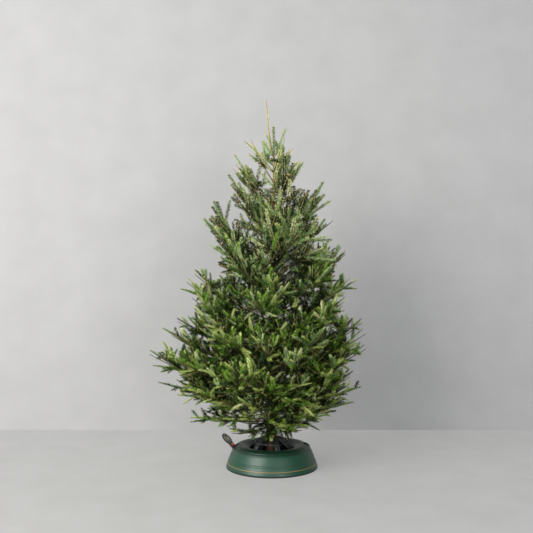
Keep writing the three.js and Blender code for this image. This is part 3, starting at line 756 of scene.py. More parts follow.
def build_cable():
    """The wire rope: a closed line through the backs of the arms, with a ring of the rope's
    section at each point.  The line is level, so a ring stands on its level normal and on +Z."""
    half = ARM_WIDTH / 2 + CABLE["past"]
    corners = [radial((CABLE["across"], across, CABLE["height"]), azimuth)
               for azimuth in ARM_AZIMUTHS for across in (-half, half)]
    path = spaced(softened(corners, 2, closed=True), CABLE["stations"], closed=True)
    ahead = unit(np.roll(path, -1, 0) - np.roll(path, 1, 0))
    aside = unit(np.cross(ahead, UP))
    rise = np.cross(aside, ahead)
    reached = np.concatenate([[0], np.cumsum(np.linalg.norm(np.diff(path, axis=0), axis=1))])
    angle, radius = strands(reached)
    grid = (path[:, None] + (radius * np.cos(angle))[..., None] * aside[:, None]
            + (radius * np.sin(angle))[..., None] * rise[:, None])
    cable = add_piece("wire_rope", *ring_tube(grid), [STEEL], "cable")
    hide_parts("cable")


def stood(points):
    """Pedal points, lying along +X from the hinge, stood in place."""
    rise = math.radians(PEDAL["rise"])
    tilt = np.array([(math.cos(rise), 0, -math.sin(rise)), (0, 1, 0),
                     (math.sin(rise), 0, math.cos(rise))])
    return along_pedal(points @ tilt.T + (0, 0, PEDAL["height"]))


def oval(profile, length, width):
    """A dish round an oval: each row of the profile is how far in from the oval's edge and how
    high it lies."""
    angle = angles(OVAL["sides"])
    inset, height = np.asarray(profile, float).T[..., None]
    along = np.maximum(length / 2 - inset, OVAL["least"]) * np.cos(angle)
    across = np.maximum(width / 2 - inset, OVAL["least"]) * np.sin(angle)
    return spread(along + PEDAL_PAD["centre"], across, height)


def rounded_block(low, high, edge):
    """A block with rounded edges: a ball's sines and cosines raised to a power, which push it
    out towards the box's corners."""
    low, high = np.array(low), np.array(high)
    middle, half = (low + high) / 2, (high - low) / 2
    around = angles(BLOCK["sides"])
    tilt = (np.linspace(-0.5, 0.5, BLOCK["stations"]) * math.pi)[:, None]

    def eased(values):
        """The values' signs, with their sizes raised to the power."""
        return np.sign(values) * np.abs(values) ** edge

    grid = spread(eased(np.cos(tilt)) * eased(np.cos(around)),
                  eased(np.cos(tilt)) * eased(np.sin(around)), eased(np.sin(tilt)))[1:-1]
    return capped_tube(middle + grid * half)


def pedal_piece(name, points, faces, finish, slot):
    """A piece of the pedal, from points that lie along +X, stood in place."""
    return add_piece(name, stood(points), faces, [finish], slot, PEDAL_BODY)


def build_pedal_body():
    """The pedal: an oval pad with a raised rim, two prongs with ribs on them and a web between
    them, and a hinge barrel."""
    half = PEDAL_PAD["thickness"] / 2
    pad_rows = [(inset, -half + rise) for inset, rise in PAD_UNDER]
    pad_rows += [(inset, half - fall) for inset, fall in PAD_OVER]
    pad = capped_tube(oval(pad_rows, PEDAL_PAD["length"], PEDAL_PAD["width"]))

    reach, prong, deep = PEDAL_PRONG["length"], PEDAL_PRONG["width"] / 2, PRONG_HALF
    sides = [side * PEDAL_PRONG["offset"] for side in (-1, 1)]
    prongs = [rounded_block((0, side - prong, -deep), (reach, side + prong, deep),
                            BLOCK_EDGE["arm"]) for side in sides]
    rib_deep = deep * PEDAL_RIBS["height"]
    ribs = []
    for i in range(PEDAL_RIBS["count"]):
        start = PEDAL_RIBS["from"] + PEDAL_RIBS["step"] * i
        for side in sides:
            out = side * PEDAL_RIBS["out"]
            ribs.append(rounded_block((start, out - PEDAL_RIBS["half"], -rib_deep),
                                      (start + PEDAL_RIBS["length"], out + PEDAL_RIBS["half"],
                                       rib_deep), BLOCK_EDGE["arm"]))
    web_half, web_deep = PEDAL_WEB["width"] / 2, PEDAL_WEB["thickness"] / 2
    web = rounded_block((PEDAL_WEB["from"], -web_half, -web_deep), (reach, web_half, web_deep),
                        BLOCK_EDGE["arm"])
    cap_at, cap = PEDAL_BARREL["cap_at"], PEDAL_BARREL["cap_share"]
    barrel = turned_pin(PEDAL_BARREL["width"] / 2 * np.array([-1, -cap_at, cap_at, 1]),
                        PEDAL_BARREL["radius"] * np.array([cap, 1, 1, cap]),
                        PEDAL_BARREL["sides"])
    pedal = pedal_piece("pedal_body", *merged([pad, *prongs, *ribs, web, barrel]),
                        PEDAL_PLASTIC, "pedal")
    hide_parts("pedal")


def build_pedal_inlay():
    """The pad's grey oval band, the glossy centre inside it, and a bare pale plate on that."""
    half = PEDAL_PAD["thickness"] / 2
    top, sunk = half + GAP, half - PEDAL_INLAY["sunk"]
    border, height, edge = (PEDAL_INLAY[key] for key in ("border", "height", "edge"))
    band_rows = [(0, sunk), (0, top + height * PEDAL_INLAY["outer"]), (edge, top + height),
                 (border - edge, top + height), (border, top + height * PEDAL_INLAY["inner"]),
                 (border, sunk)]
    band = oval(band_rows, PEDAL_INLAY["length"], PEDAL_INLAY["width"])
    inlay = pedal_piece("inlay_band", *ring_tube(band), INLAY_PLASTIC, "inlay")
    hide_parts("pedal_inlay")
    centre_rows = [(inset, half + rise) for inset, rise in CENTRE_ROWS]
    centre = oval(centre_rows, PEDAL_INLAY["length"] - 2 * border,
                  PEDAL_INLAY["width"] - 2 * border)
    pedal_piece("pedal_centre", *capped_tube(centre), CENTRE_PLASTIC, "pedal")
    middle = np.array([PEDAL_PAD["centre"], 0, half + PEDAL_PLATE["over"]])
    size = np.array([PEDAL_PLATE[key] for key in ("length", "width", "height")])
    bare = rounded_block(middle - size / 2, middle + size / 2, BLOCK_EDGE["plate"])
    pedal_piece("pedal_plate", *bare, WHITE_PLASTIC, "inlay")


def build_pedal_lock():
    """The red lock on the prongs and a small white patch beyond it."""
    start, across = PEDAL_LOCK["from"], PEDAL_LOCK["width"] / 2
    end, low = start + PEDAL_LOCK["length"], PRONG_HALF + GAP
    under = low - PEDAL_LOCK["sunk"]
    button = rounded_block((start, -across, under), (end, across, low + PEDAL_LOCK["height"]),
                           BLOCK_EDGE["lock"])
    lock = pedal_piece("lock_button", *button, RED_PLASTIC, "lock")
    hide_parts("pedal_lock")
    half = across * LOCK_PATCH["width"]
    patch = rounded_block((end, -half, under),
                          (end + LOCK_PATCH["length"], half, low + LOCK_PATCH["height"]),
                          BLOCK_EDGE["patch"])
    pedal_piece("lock_patch", *patch, WHITE_PLASTIC, "lock")


def shell_height(along, across):
    """The shell's outer height over places along the pedal's heading and across it."""
    place = along_pedal(spread(along, across, 0.0))
    radius, height = np.array(SHELL_OUTLINE[1:7]).T
    return np.interp(np.hypot(place[..., 0], place[..., 1]), radius[::-1], height[::-1])


def build_slot_liner():
    """A black liner in the pedal's slot: two cheeks that hold the hinge, cut to the shell's own
    height less a step, and a back wall."""
    half, wall, step = SLOT["width"] / 2, LINER["wall"], LINER["step"]
    start, under = SLOT["from"] + GAP, SLOT["low"] + LINER["under"]
    parts = []
    for low, high in ((-half + GAP, -half + wall), (half - wall, half - GAP)):
        along = np.linspace(start, LINER["to"], LINER["stations"])
        top = shell_height(along, (low + high) / 2) - step
        seen = top > under + step
        line = np.stack([along[seen], top[seen]], -1)
        parts.append(plate(np.concatenate([[(line[-1, 0], under), (start, under)], line]),
                           low, high))
    lip = float(shell_height(start, half)) - step
    back = [(start, under), (start + wall, under), (start + wall, lip), (start, lip)]
    parts.append(plate(np.array(back), -half + GAP, half - GAP))
    points, faces = merged(parts)
    add_piece("slot_liner", along_pedal(points), faces, [BLACK_PLASTIC], "tank", smooth=False)


def build_gauge():
    """The fill gauge: a small hooked tab over the shell's shoulder."""
    outline = softened(GAUGE_OUTLINE, 2, closed=True)
    points, faces = plate(outline, -GAUGE["width"] / 2, GAUGE["width"] / 2)
    gauge = add_piece("gauge_tab", radial(points, GAUGE["azimuth"]), faces, [BLACK_PLASTIC],
                      "gauge")
    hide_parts("fill_gauge")


# ---------------------------------------------------------------- trunk and boughs
def trunk_centre(height):
    """The middle of the trunk at a height, from the table of its drift."""
    return Vector((float(np.interp(height, TRUNK[:, 0], TRUNK[:, 1])), 0, height))


def heading(azimuth):
    """The level direction at an azimuth."""
    return Vector((math.cos(math.radians(azimuth)), math.sin(math.radians(azimuth)), 0))


def rings(aside, rise, sides):
    """Directions round each point of a line, from two that stand square to it."""
    angle = angles(sides)[None, :, None]
    return np.cos(angle) * aside[:, None] + np.sin(angle) * rise[:, None]


def wood_tube(path, radii, sides, relief, seed):
    """A tube of wood through a path: rings across the path's own direction, each with its own
    radius, pressed in and out by a relief that is a share of that radius."""
    ahead = unit(np.gradient(path, axis=0))
    guide = np.where(np.abs(ahead[:, 2:]) > 0.95, (1.0, 0, 0), (0, 0, 1.0))
    aside = unit(np.cross(guide, ahead))
    rise = np.cross(ahead, aside)
    out = rings(aside, rise, sides)
    skin = path[:, None] + out * radii[:, None, None]
    swell = relief * waves(skin, WOOD_WAVES["waves"], WOOD_WAVES["finest"], seed)
    return capped_tube(path[:, None] + out * (radii[:, None] * (1 + swell))[..., None])


def build_trunk():
    """The trunk: the table of drift and radius by height, turned round its own centre line,
    with long shallow furrows, resin blisters and a swelling at every tier."""
    heights = np.concatenate([
        np.linspace(TRUNK[0, 0], TRUNK_GRID["fine_to"], TRUNK_GRID["fine"]),
        np.linspace(TRUNK_GRID["from"], TRUNK[-1, 0], TRUNK_GRID["coarse"])])[:, None]
    drift = np.interp(heights, TRUNK[:, 0], TRUNK[:, 1])
    radius = np.interp(heights, TRUNK[:, 0], TRUNK[:, 2]) * TRUNK_SKIN
    angle = angles(TRUNK_GRID["sides"])
    places = spread(radius * np.cos(angle), radius * np.sin(angle), heights)
    furrows, blisters = (waves(places * form.get("stretch", 1), form["waves"], form["finest"],
                               form["seed"]) for form in (FURROWS, BLISTERS))
    swell = FURROWS["height"] * furrows
    swell += BLISTERS["height"] * np.clip(blisters - BLISTERS["above"], 0, 1)
    for _, height, _, _, _ in TIERS:
        away = (heights - height - KNOTS["over"]) / KNOTS["width"]
        swell += KNOTS["height"] * np.exp(-(away**2))
    held = np.where(heights < IN_ARMS["below"], np.minimum(swell, IN_ARMS["most"]), swell)
    reach = radius * (1 + held)
    grid = spread(drift + reach * np.cos(angle), reach * np.sin(angle), heights)
    trunk = add_piece("trunk_wood", *capped_tube(grid), [TRUNK_BARK], "bark")
    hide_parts("trunk")


build_base()
build_shell()
build_gold_line()
build_tank()
build_arms()
build_cable()
build_pedal_body()
build_pedal_inlay()
build_pedal_lock()
build_slot_liner()
build_gauge()
build_trunk()


# ---------------------------------------------------------------- the branching rule
WORD = 0xFFFFFFFF


def seeded(seed):
    """A generator of numbers from 0 to 1, the same run for the same seed, by 32-bit mixing."""
    state = seed & WORD

    def draw():
        """The next number."""
        nonlocal state
        state = (state + 0x6D2B79F5) & WORD
        mixed = ((state ^ (state >> 15)) * (state | 1)) & WORD
        mixed ^= (mixed + (((mixed ^ (mixed >> 7)) * (mixed | 61)) & WORD)) & WORD
        return (mixed ^ (mixed >> 14)) / (WORD + 1)

    return draw


def crown_reach(height, azimuth, outline=CROWN):
    """How far the crown reaches: left and right from its outline, and in between by cosine."""
    left = float(np.interp(height, outline[:, 0], outline[:, 1]))
    right = float(np.interp(height, outline[:, 0], outline[:, 2]))
    return (left + right) / 2 - (left - right) / 2 * math.cos(math.radians(azimuth))


def turned_about(vector, axis, degrees):
    """A direction turned about an axis."""
    return Quaternion(axis, math.radians(degrees)) @ vector


class Bough:
    """One bough: a quadratic curve from the trunk's axis to the crown's outline."""

    def __init__(self, tier, index, seed, first_is_full):
        name, height, tip_height, boughs, turn = tier
        draw = seeded(seed)
        free = 0 if first_is_full and index == 0 else 1
        swing = free * BOUGH["swing"] * (2 * draw() - 1)
        share = 1 - free * (1 - BOUGH["shortest"]) * draw()
        rise = free * BOUGH["rise"] * (2 * draw() - 1)
        azimuth = turn + 360 * index / boughs + swing
        self.root = trunk_centre(height + BOUGH["step"] * index)
        self.tip = heading(azimuth) * share * crown_reach(tip_height + rise, azimuth)
        self.tip.z = tip_height + rise
        self.length = (self.tip - self.root).length
        self.middle = self.root.lerp(self.tip, 0.5) - UP * BOUGH["sag"] * self.length
        self.side = UP.cross(heading(azimuth))
        self.limb = BOUGH["limb"] if name == LIMB_TIER else 0
        self.tier = name
        self.draw = draw
        self.size = float(np.interp(self.tip.z, [SHRINK["from"], SHRINK["to"]],
                                    [1, SHRINK["least"]]))

    def point(self, share):
        """The curve's point at a share of its way: its three points weighed by the share."""
        away = 1 - share
        return (away * away * self.root + 2 * away * share * self.middle
                + share * share * self.tip)

    def tangent(self, share):
        """The curve's direction there: its two straight sides weighed by the share."""
        return ((1 - share) * (self.middle - self.root)
                + share * (self.tip - self.middle)).normalized()


class Shoot:
    """A straight shoot: bare wood from its start to its root, then a spray out to its tip."""

    def __init__(self, start, root, direction, side, spray, wood_length):
        self.start, self.root = start, root
        self.direction, self.side = direction, side
        self.spray, self.wood_length = spray, wood_length


def grow_shoot(shoots, bough, start, direction, side, length):
    """A shoot, and the side shoots of one that is long enough to fork.

    The part's own rule draws each spray's roll, which means nothing here.  That number is
    drawn all the same, so that the numbers after it stay the part's."""
    tip = start + direction * length
    forks = length > SPRAY["length"] * bough.size
    spray = SPRAY["length"] * bough.size if forks else length
    root = tip - direction * spray
    bough.draw()
    shoots.append(Shoot(start, root, direction, side, spray, length - spray))
    if forks:
        grow_sides(shoots, bough, lambda back: (tip - direction * back, direction), side, length)


def grow_sides(shoots, bough, at, side, length):
    """Side shoots in pairs at each fork, counted back from the tip of a shoot or stem."""
    step = FORK["step"] * bough.size
    draw = bough.draw
    back = step
    while back < FORK["last"] * length:
        for sign in (-1, 1):
            point, direction = at(back + FORK["offset"] * (sign + draw()))
            tilt = FORK["low"] + (FORK["high"] - FORK["low"]) * draw()
            reach = ((FORK["share"] * back + FORK["extra"])
                     * (FORK["least"] + FORK["spread"] * draw()))
            out = direction.cross(side).normalized()
            across = turned_about(side, out, sign * FORK["angle"])
            level = turned_about(direction, out, sign * FORK["angle"])
            lifted = turned_about(level, across, -tilt).normalized()
            grow_shoot(shoots, bough, point, lifted, across, reach)
        back += step


def grow_bough(bough):
    """Everything that grows on one bough.  The spray at its tip comes first, and a number is
    drawn for its roll too."""
    size, length = bough.size, bough.length
    to = 1 - min(SPRAY["length"] * size / length, SPRAY["most"])
    root, tip = bough.point(to), bough.point(1)
    direction = (tip - root).normalized()
    bough.draw()
    shoots = [Shoot(root, root, direction, bough.side, (tip - root).length, 0)]

    def at(back):
        """The stem's point and direction at a distance back from its tip."""
        share = max(1 - back / length, 0)
        return bough.point(share), bough.tangent(share)

    grow_sides(shoots, bough, at, bough.side, length * (1 - bough.limb) - FORK["bare"])
    return shoots


# Thinner boughs that leave the trunk between two tiers: the lower tier's name, their number
# and the azimuth of the first.
BETWEEN = {"a": (3, 300), "b": (6, 2), "c": (5, 176), "d": (5, 216), "e": (6, 0),
           "f": (6, 200), "g": (5, 168), "h": (4, 30), "i": (4, 190), "j": (4, 10),
           "k": (2, 200), "l": (0, 0)}
BETWEEN_SEED = 50
BETWEEN_SHARES = (0.25, 0.75)  # of the way up to the next tier
TIER_SEED = 100
GOLDEN = 0.6180339887


def tier_boughs():
    """The tiers' own boughs, then the thinner ones between each tier and the next."""
    boughs = [Bough(tier, index, TIER_SEED * (number + 1) + index, True)
              for number, tier in enumerate(TIERS) for index in range(tier[3])]
    for number, tier in enumerate(TIERS):
        upper = TIERS[min(number + 1, len(TIERS) - 1)]
        count, first = BETWEEN[tier[0]]
        for index in range(count):
            share = between(BETWEEN_SHARES, (index * GOLDEN) % 1)
            height, tip_height = (between(pair, share) for pair in zip(tier[1:3], upper[1:3]))
            middle = (tier[0], height, tip_height, count, first)
            seed = TIER_SEED * (number + 1) + BETWEEN_SEED + index
            boughs.append(Bough(middle, index, seed, False))
    return boughs


crown = [(bough, grow_bough(bough)) for bough in tier_boughs()]

# ---------------------------------------------------------------- finer twigs
STEEP = (0.85, 1.22)  # heights between which the shoots turn long, thin and steep
# A year's growth and what grows at its node.  Pairs are for a level shoot and a steep one.
YEAR = {"length": (0.072, 0.155), "share": (0.50, 0.90), "extra": (0.036, 0.100),
        "most": (0.105, 0.250), "angle": (50, 36), "turn": (14, 12), "lift": (0.20, 0.05),
        "above": (0.5, 0.40), "below": (0.2, 0.0), "roll": (60, 40), "upward": (0.10, 0.42),
        "sway": (0.26, 0.05), "least": (0.085, 0.15), "limit": (1.03, 1.06),
        "ragged": (0.84, 0.70)}
YEAR_BY_SIZE = (0.55, 0.45)  # a year's share of its length, and what the bough's size adds
VARIES = {"year": (0.85, 1.15), "reach": (0.75, 1.15), "lift": (-0.3, 1.6), "stem": (0.9, 1.1)}
# Shoots above or below the fan's plane: shares of the others' length and angle, and a roll.
OUT_OF_PLANE = {"length": 0.75, "angle": 0.9, "roll": 35}
# A side shoot forks if it is longer than a share of a year, over a share of its own length.
FORKS_AGAIN = {"years": 1.1, "over": 0.8}
SPRAY_LIFT = (0.10, 0.03)
FIRST_NODE = {"wood": 0.3, "stem": 0.5, "named": 0.6}  # in years back from the tip
NAMED = {"size": 0.5, "over": 0.85}  # the forking of shoots with a place of their own
TWIG_WOOD = {"root": 0.0010, "by_length": 0.005, "end": 0.0009, "steep": 0.9}
UPRIGHT = 0.25  # below this share of +Z across it, a twig's top faces away from the trunk
BELLY = 0.6  # the share of its length at which a twig's depth in the crown is taken
CUT_BACK = {"tries": 8, "share": 0.86, "below_top": 0.012}  # for twigs that would stick out
SHORTEST = (0.022, 0.070)
# Height, and how far the finer twigs may reach to the left (-X) and to the right (+X).
RAGGED_OUTLINE = np.array([
    (0.15, 0.100, 0.100), (0.20, 0.330, 0.200), (0.24, 0.410, 0.260), (0.30, 0.420, 0.370),
    (0.36, 0.470, 0.410), (0.42, 0.560, 0.445), (0.54, 0.610, 0.460), (0.60, 0.555, 0.460),
    (0.66, 0.530, 0.475), (0.75, 0.500, 0.455), (0.84, 0.455, 0.455), (0.93, 0.370, 0.425),
    (1.00, 0.395, 0.375), (1.07, 0.310, 0.345), (1.14, 0.315, 0.300), (1.22, 0.345, 0.250),
    (1.32, 0.305, 0.295), (1.38, 0.225, 0.255), (1.44, 0.225, 0.185), (1.53, 0.195, 0.110),
    (1.62, 0.145, 0.075)])
UNCUT = 1.15  # the share of the reach that a bough's own sprays may fill
TOP_CONE = {"tip": 1.66, "slope": 0.8, "extra": 0.01}  # what limits the side shoots at the top
# Heights, and the share of the side shoots that grow there.
SPARSE_TOP = np.array([(0.90, 0.96), (1.20, 0.70), (1.42, 0.56), (1.56, 0.40)])
LOWEST = {"middle": 0.148, "from": -0.14, "rise": 0.75, "most": 0.055}  # below every twig
# Shares of the reach between which the twigs thin out, and the share that is left out there.
BARE_CORE = ((0.24, 0.60), (0.8, 0))
OPEN_TOP = 1.45  # above this height every twig counts as an outer one
BARE_STEM = 0.30  # the share of the reach from which a bough bears needles itself


def steepness(height):
    """How steep shoots grow at a height, from 0 to 1."""
    return min(max((height - STEEP[0]) / (STEEP[1] - STEEP[0]), 0.0), 1.0)


class Twig:
    """One needled twig: a straight line plus a bend that grows with the square of the share."""

    def __init__(self, tier, start, direction, side, length, lift, sway=0.0, needle=1.0):
        self.tier = tier
        self.start, self.direction, self.side, self.length = start, direction, side, length
        self.steep = steepness(start.z)
        top = UP - UP.dot(direction) * direction
        if top.length < UPRIGHT:
            top = start - trunk_centre(start.z)
            top = top - top.dot(direction) * direction
        self.top = top.normalized()
        self.bend = self.top * lift + side * sway
        self.needle = needle
        self.tone = rng.random()

    def point(self, share):
        """The point at a share of the length."""
        return self.start + (self.direction * share + self.bend * share**2) * self.length

    def ahead(self, share):
        """The direction at a share of the length."""
        return (self.direction + self.bend * 2 * share).normalized()


twigs = []


def clear_of_stand(point):
    """True where a point is over the stand's arms, and over a line that rises to the left so
    that the pedal has its room."""
    rise = LOWEST["rise"] * max(LOWEST["from"] - point.x, 0)
    return point.z > LOWEST["middle"] + min(rise, LOWEST["most"])


def share_of_reach(point):
    """How far out a point is, as a share of the crown's reach at its height and azimuth."""
    azimuth = math.degrees(math.atan2(point.y, point.x))
    cone = max(TOP_CONE["tip"] - point.z, 0) * TOP_CONE["slope"] + TOP_CONE["extra"]
    reach = crown_reach(point.z, azimuth, RAGGED_OUTLINE)
    return math.hypot(point.x, point.y) / min(reach, cone)


def held_in(start, direction, length, limit):
    """The length cut so that the tip stays within a share of the crown's reach, within the
    part's box and clear of the stand."""
    for _ in range(CUT_BACK["tries"]):
        tip = start + direction * length
        if (share_of_reach(tip) <= limit and tip.z < CAD_TOP - CUT_BACK["below_top"]
                and clear_of_stand(tip)):
            return length
        length *= CUT_BACK["share"]
    return 0.0


def add_twig(tier, start, direction, side, length, lift, limit):
    """A twig, if there is room for it and it isn't in the bare core of the crown."""
    length = held_in(start, direction, length, limit)
    out = share_of_reach(start + direction * length * BELLY)
    thin = float(np.interp(out, *BARE_CORE))
    if rng.random() < thin or length < between(SHORTEST, steepness(start.z)):
        return None
    sway = between(YEAR["sway"], steepness(start.z)) * rng.uniform(-1, 1)
    twig = Twig(tier, start, direction, side, length, lift, sway)
    twigs.append(twig)
    return twig


def sideways(parent, ahead, out, way, angle, roll):
    """The direction and side of a shoot in the fan's plane, which is rolled about its parent."""
    about = turned_about(out, ahead, rng.uniform(-roll, roll))
    direction = turned_about(ahead, about, way * angle).normalized()
    return direction, turned_about(parent.side, about, way * angle)


def above_or_below(parent, ahead, way, angle):
    """The direction and side of a shoot above the fan's plane or below it."""
    direction = turned_about(ahead, parent.side, (way - 1) * angle * OUT_OF_PLANE["angle"])
    roll = rng.uniform(-OUT_OF_PLANE["roll"], OUT_OF_PLANE["roll"])
    return turned_about(direction, ahead, roll), parent.side


def add_year_shoots(size, parent, length, first=1.0, order=0, old=False):
    """Side shoots at every year's node of a twig, counted back from its tip: a pair in the
    fan's plane and, at some nodes, one above it or below it.  Long ones fork once more, and
    those on old wood have a least length."""
    steep = parent.steep
    year = between(YEAR["length"], steep) * (YEAR_BY_SIZE[0] + YEAR_BY_SIZE[1] * size)
    back = year * first * rng.uniform(*VARIES["year"])
    while back < length:
        share = 1 - back / parent.length
        start, ahead = parent.point(share), parent.ahead(share)
        out = ahead.cross(parent.side).normalized()
        # Ways: -1 and 1 are to the sides, 0 is above and 2 is below.
        ways = [-1, 1] + [0] * (rng.random() < between(YEAR["above"], steep))
        ways += [2] * (rng.random() < between(YEAR["below"], steep))
        kept = np.interp(start.z, *SPARSE_TOP.T)
        for way in ways:
            if rng.random() > kept:
                continue
            reach = between(YEAR["share"], steep) * back + between(YEAR["extra"], steep)
            if old:
                reach = max(reach, between(YEAR["least"], steep))
            reach = min(reach, between(YEAR["most"], steep)) * rng.uniform(*VARIES["reach"])
            turn = between(YEAR["turn"], steep)
            angle = between(YEAR["angle"], steep) + rng.uniform(-turn, turn)
            if abs(way) == 1:
                roll = between(YEAR["roll"], steep)
                direction, side = sideways(parent, ahead, out, way, angle, roll)
            else:
                reach *= OUT_OF_PLANE["length"]
                direction, side = above_or_below(parent, ahead, way, angle)
            direction = (direction + UP * between(YEAR["upward"], steep)).normalized()
            lift = between(YEAR["lift"], steep) * rng.uniform(*VARIES["lift"])
            limit = rng.uniform(*(between(YEAR[end], steep) for end in ("ragged", "limit")))
            twig = add_twig(parent.tier, start, direction, side, reach, lift, limit)
            if twig and order == 0 and twig.length > FORKS_AGAIN["years"] * year:
                add_year_shoots(size, twig, twig.length * FORKS_AGAIN["over"], order=1)
        back += year * rng.uniform(*VARIES["year"])


def carry_on(bough, shoots):
    """The finer twigs of one bough: its sprays, the wood behind them and its own stem."""
    for shoot in shoots:
        direction, side = shoot.direction, shoot.side
        lift = between(SPRAY_LIFT, steepness(shoot.root.z))
        spray = add_twig(bough.tier, shoot.root, direction, side, shoot.spray, lift, UNCUT)
        if spray:
            add_year_shoots(bough.size, spray, spray.length)
        if shoot.wood_length > SHORTEST[0]:
            wood = Twig(bough.tier, shoot.start, direction, side, shoot.wood_length, 0)
            add_year_shoots(bough.size, wood, wood.length, FIRST_NODE["wood"], old=True)
            twigs.append(wood)
    stem = bough.length * (1 - bough.limb) - FORK["bare"]
    back = SPRAY["length"] * bough.size * rng.uniform(*VARIES["stem"])
    while back < stem:
        share = 1 - back / bough.length
        length = YEAR["length"][0]
        piece = Twig(bough.tier, bough.point(share), bough.tangent(share), bough.side, length, 0)
        add_year_shoots(bough.size, piece, length, FIRST_NODE["stem"], old=True)
        if share_of_reach(piece.start) > BARE_STEM:
            twigs.append(piece)
        back += length


# Shoots with a place of their own: start, tip, the length of their needles as a share of the
# others', and their tone from 0, dark, to 1, light.
LEADER_SHOOTS = [
    ((-0.005, 0.000, 1.590), (-0.026, 0.000, 1.802), 0.50, 0.98),
    ((0.012, -0.006, 1.536), (0.0085, -0.024, 1.694), 0.85, 0.50),
    ((0.014, -0.006, 1.540), (0.068, -0.030, 1.680), 0.95, 0.85),
    ((-0.008, -0.004, 1.616), (-0.031, -0.014, 1.660), 0.60, 0.80),
    ((0.004, -0.010, 1.545), (-0.044, -0.040, 1.618), 1.35, 0.70),
    ((0.010, 0.000, 1.500), (-0.136, -0.030, 1.620), 0.65, 0.95),
    ((0.008, 0.004, 1.470), (-0.114, 0.040, 1.566), 0.70, 0.90),
    ((0.008, -0.010, 1.470), (-0.088, -0.070, 1.576), 0.80, 0.93),
    ((0.014, 0.000, 1.480), (0.100, -0.030, 1.578), 0.80, 0.90),
    ((0.014, 0.006, 1.500), (0.062, 0.090, 1.600), 0.90, 0.60),
    ((0.008, 0.008, 1.500), (-0.040, 0.110, 1.590), 0.90, 0.70),
    ((0.012, -0.006, 1.470), (0.040, -0.120, 1.560), 0.90, 0.95),
    ((0.006, 0.008, 1.545), (-0.012, 0.046, 1.650), 0.90, 0.60),
]
SIDE_SHOOTS = [
    ((-0.330, 0.000, 0.800), (-0.455, 0.000, 0.885), 1.0, 0.5),
    ((-0.420, 0.000, 0.620), (-0.540, -0.020, 0.690), 1.0, 0.5),
    ((-0.450, 0.000, 0.440), (-0.585, -0.020, 0.505), 1.0, 0.5),
    ((-0.280, 0.040, 0.220), (-0.405, 0.030, 0.214), 0.9, 0.4),
    ((0.150, -0.020, 1.270), (0.254, -0.030, 1.418), 1.0, 0.5),
    ((0.180, 0.000, 1.200), (0.288, -0.020, 1.323), 1.0, 0.45),
    ((0.080, 0.000, 1.360), (0.154, -0.020, 1.515), 1.0, 0.6),
    ((-0.080, 0.000, 1.400), (-0.184, -0.020, 1.553), 0.8, 0.6),
    ((-0.120, 0.000, 1.300), (-0.217, -0.030, 1.457), 0.9, 0.5),
    ((-0.190, 0.000, 1.200), (-0.289, -0.020, 1.323), 1.0, 0.4),
    ((-0.220, 0.000, 1.140), (-0.334, -0.030, 1.230), 1.0, 0.5),
    ((0.220, 0.000, 1.000), (0.341, -0.020, 1.090), 1.0, 0.6),
    ((0.300, 0.000, 0.860), (0.424, 0.000, 0.930), 1.0, 0.6),
    ((-0.380, -0.020, 0.350), (-0.555, -0.050, 0.425), 1.0, 0.4),
    ((-0.300, 0.030, 0.290), (-0.470, 0.020, 0.352), 1.0, 0.6),
    ((-0.250, 0.000, 0.240), (-0.400, -0.020, 0.246), 1.0, 0.6),
    ((0.300, 0.000, 0.330), (0.440, -0.030, 0.400), 1.0, 0.62),
    ((0.280, -0.030, 0.280), (0.400, -0.060, 0.330), 1.0, 0.58),
    ((0.100, -0.010, 0.220), (0.235, -0.020, 0.184), 0.8, 0.4),
]
INNER_SHOOTS = [
    ((-0.030, 0.020, 0.700), (-0.180, 0.120, 0.800), 1.0, 0.3),
    ((-0.030, -0.020, 0.700), (-0.150, -0.220, 0.790), 1.0, 0.6),
    ((0.030, 0.000, 0.600), (0.260, 0.060, 0.700), 1.0, 0.3),
    ((0.030, -0.020, 0.620), (0.220, -0.180, 0.730), 1.0, 0.6),
    ((0.030, -0.030, 0.860), (0.130, -0.180, 0.980), 1.0, 0.4),
    ((0.030, -0.030, 0.930), (0.080, -0.160, 1.060), 1.0, 0.6),
    ((0.030, -0.020, 0.980), (0.150, -0.100, 1.100), 1.0, 0.3),
    ((0.000, -0.030, 0.690), (0.005, -0.220, 0.800), 1.0, 0.6),
    ((0.000, -0.030, 0.740), (-0.060, -0.190, 0.860), 1.0, 0.3),
    ((-0.030, -0.020, 0.780), (-0.160, -0.130, 0.880), 1.0, 0.5),
    ((0.020, -0.030, 0.800), (0.180, -0.150, 0.930), 1.0, 0.5),
    ((-0.020, -0.030, 0.960), (-0.070, -0.170, 1.080), 1.0, 0.5),
    ((0.020, -0.020, 0.940), (0.170, -0.140, 1.050), 1.0, 0.4),
    ((0.020, -0.020, 1.000), (0.100, -0.170, 1.130), 1.0, 0.6),
    ((0.020, 0.000, 0.960), (0.200, -0.050, 1.050), 1.0, 0.3),
    ((0.015, -0.020, 1.040), (0.120, -0.110, 1.180), 1.0, 0.7),
    ((0.000, -0.030, 0.910), (0.040, -0.200, 1.020), 1.0, 0.4),
    ((0.005, -0.030, 0.950), (0.010, -0.180, 1.080), 1.0, 0.6),
    ((0.010, -0.030, 0.980), (0.060, -0.150, 1.100), 1.0, 0.3),
    ((0.000, -0.030, 1.020), (-0.030, -0.160, 1.150), 1.0, 0.6),
    ((0.020, 0.030, 0.920), (0.110, 0.160, 1.030), 1.0, 0.2),
    ((0.020, 0.030, 0.880), (0.075, 0.200, 0.990), 1.0, 0.2),
    ((0.030, 0.020, 0.900), (0.160, 0.110, 1.000), 1.0, 0.3),
    ((-0.020, 0.030, 0.740), (-0.130, 0.200, 0.840), 1.0, 0.3),
]
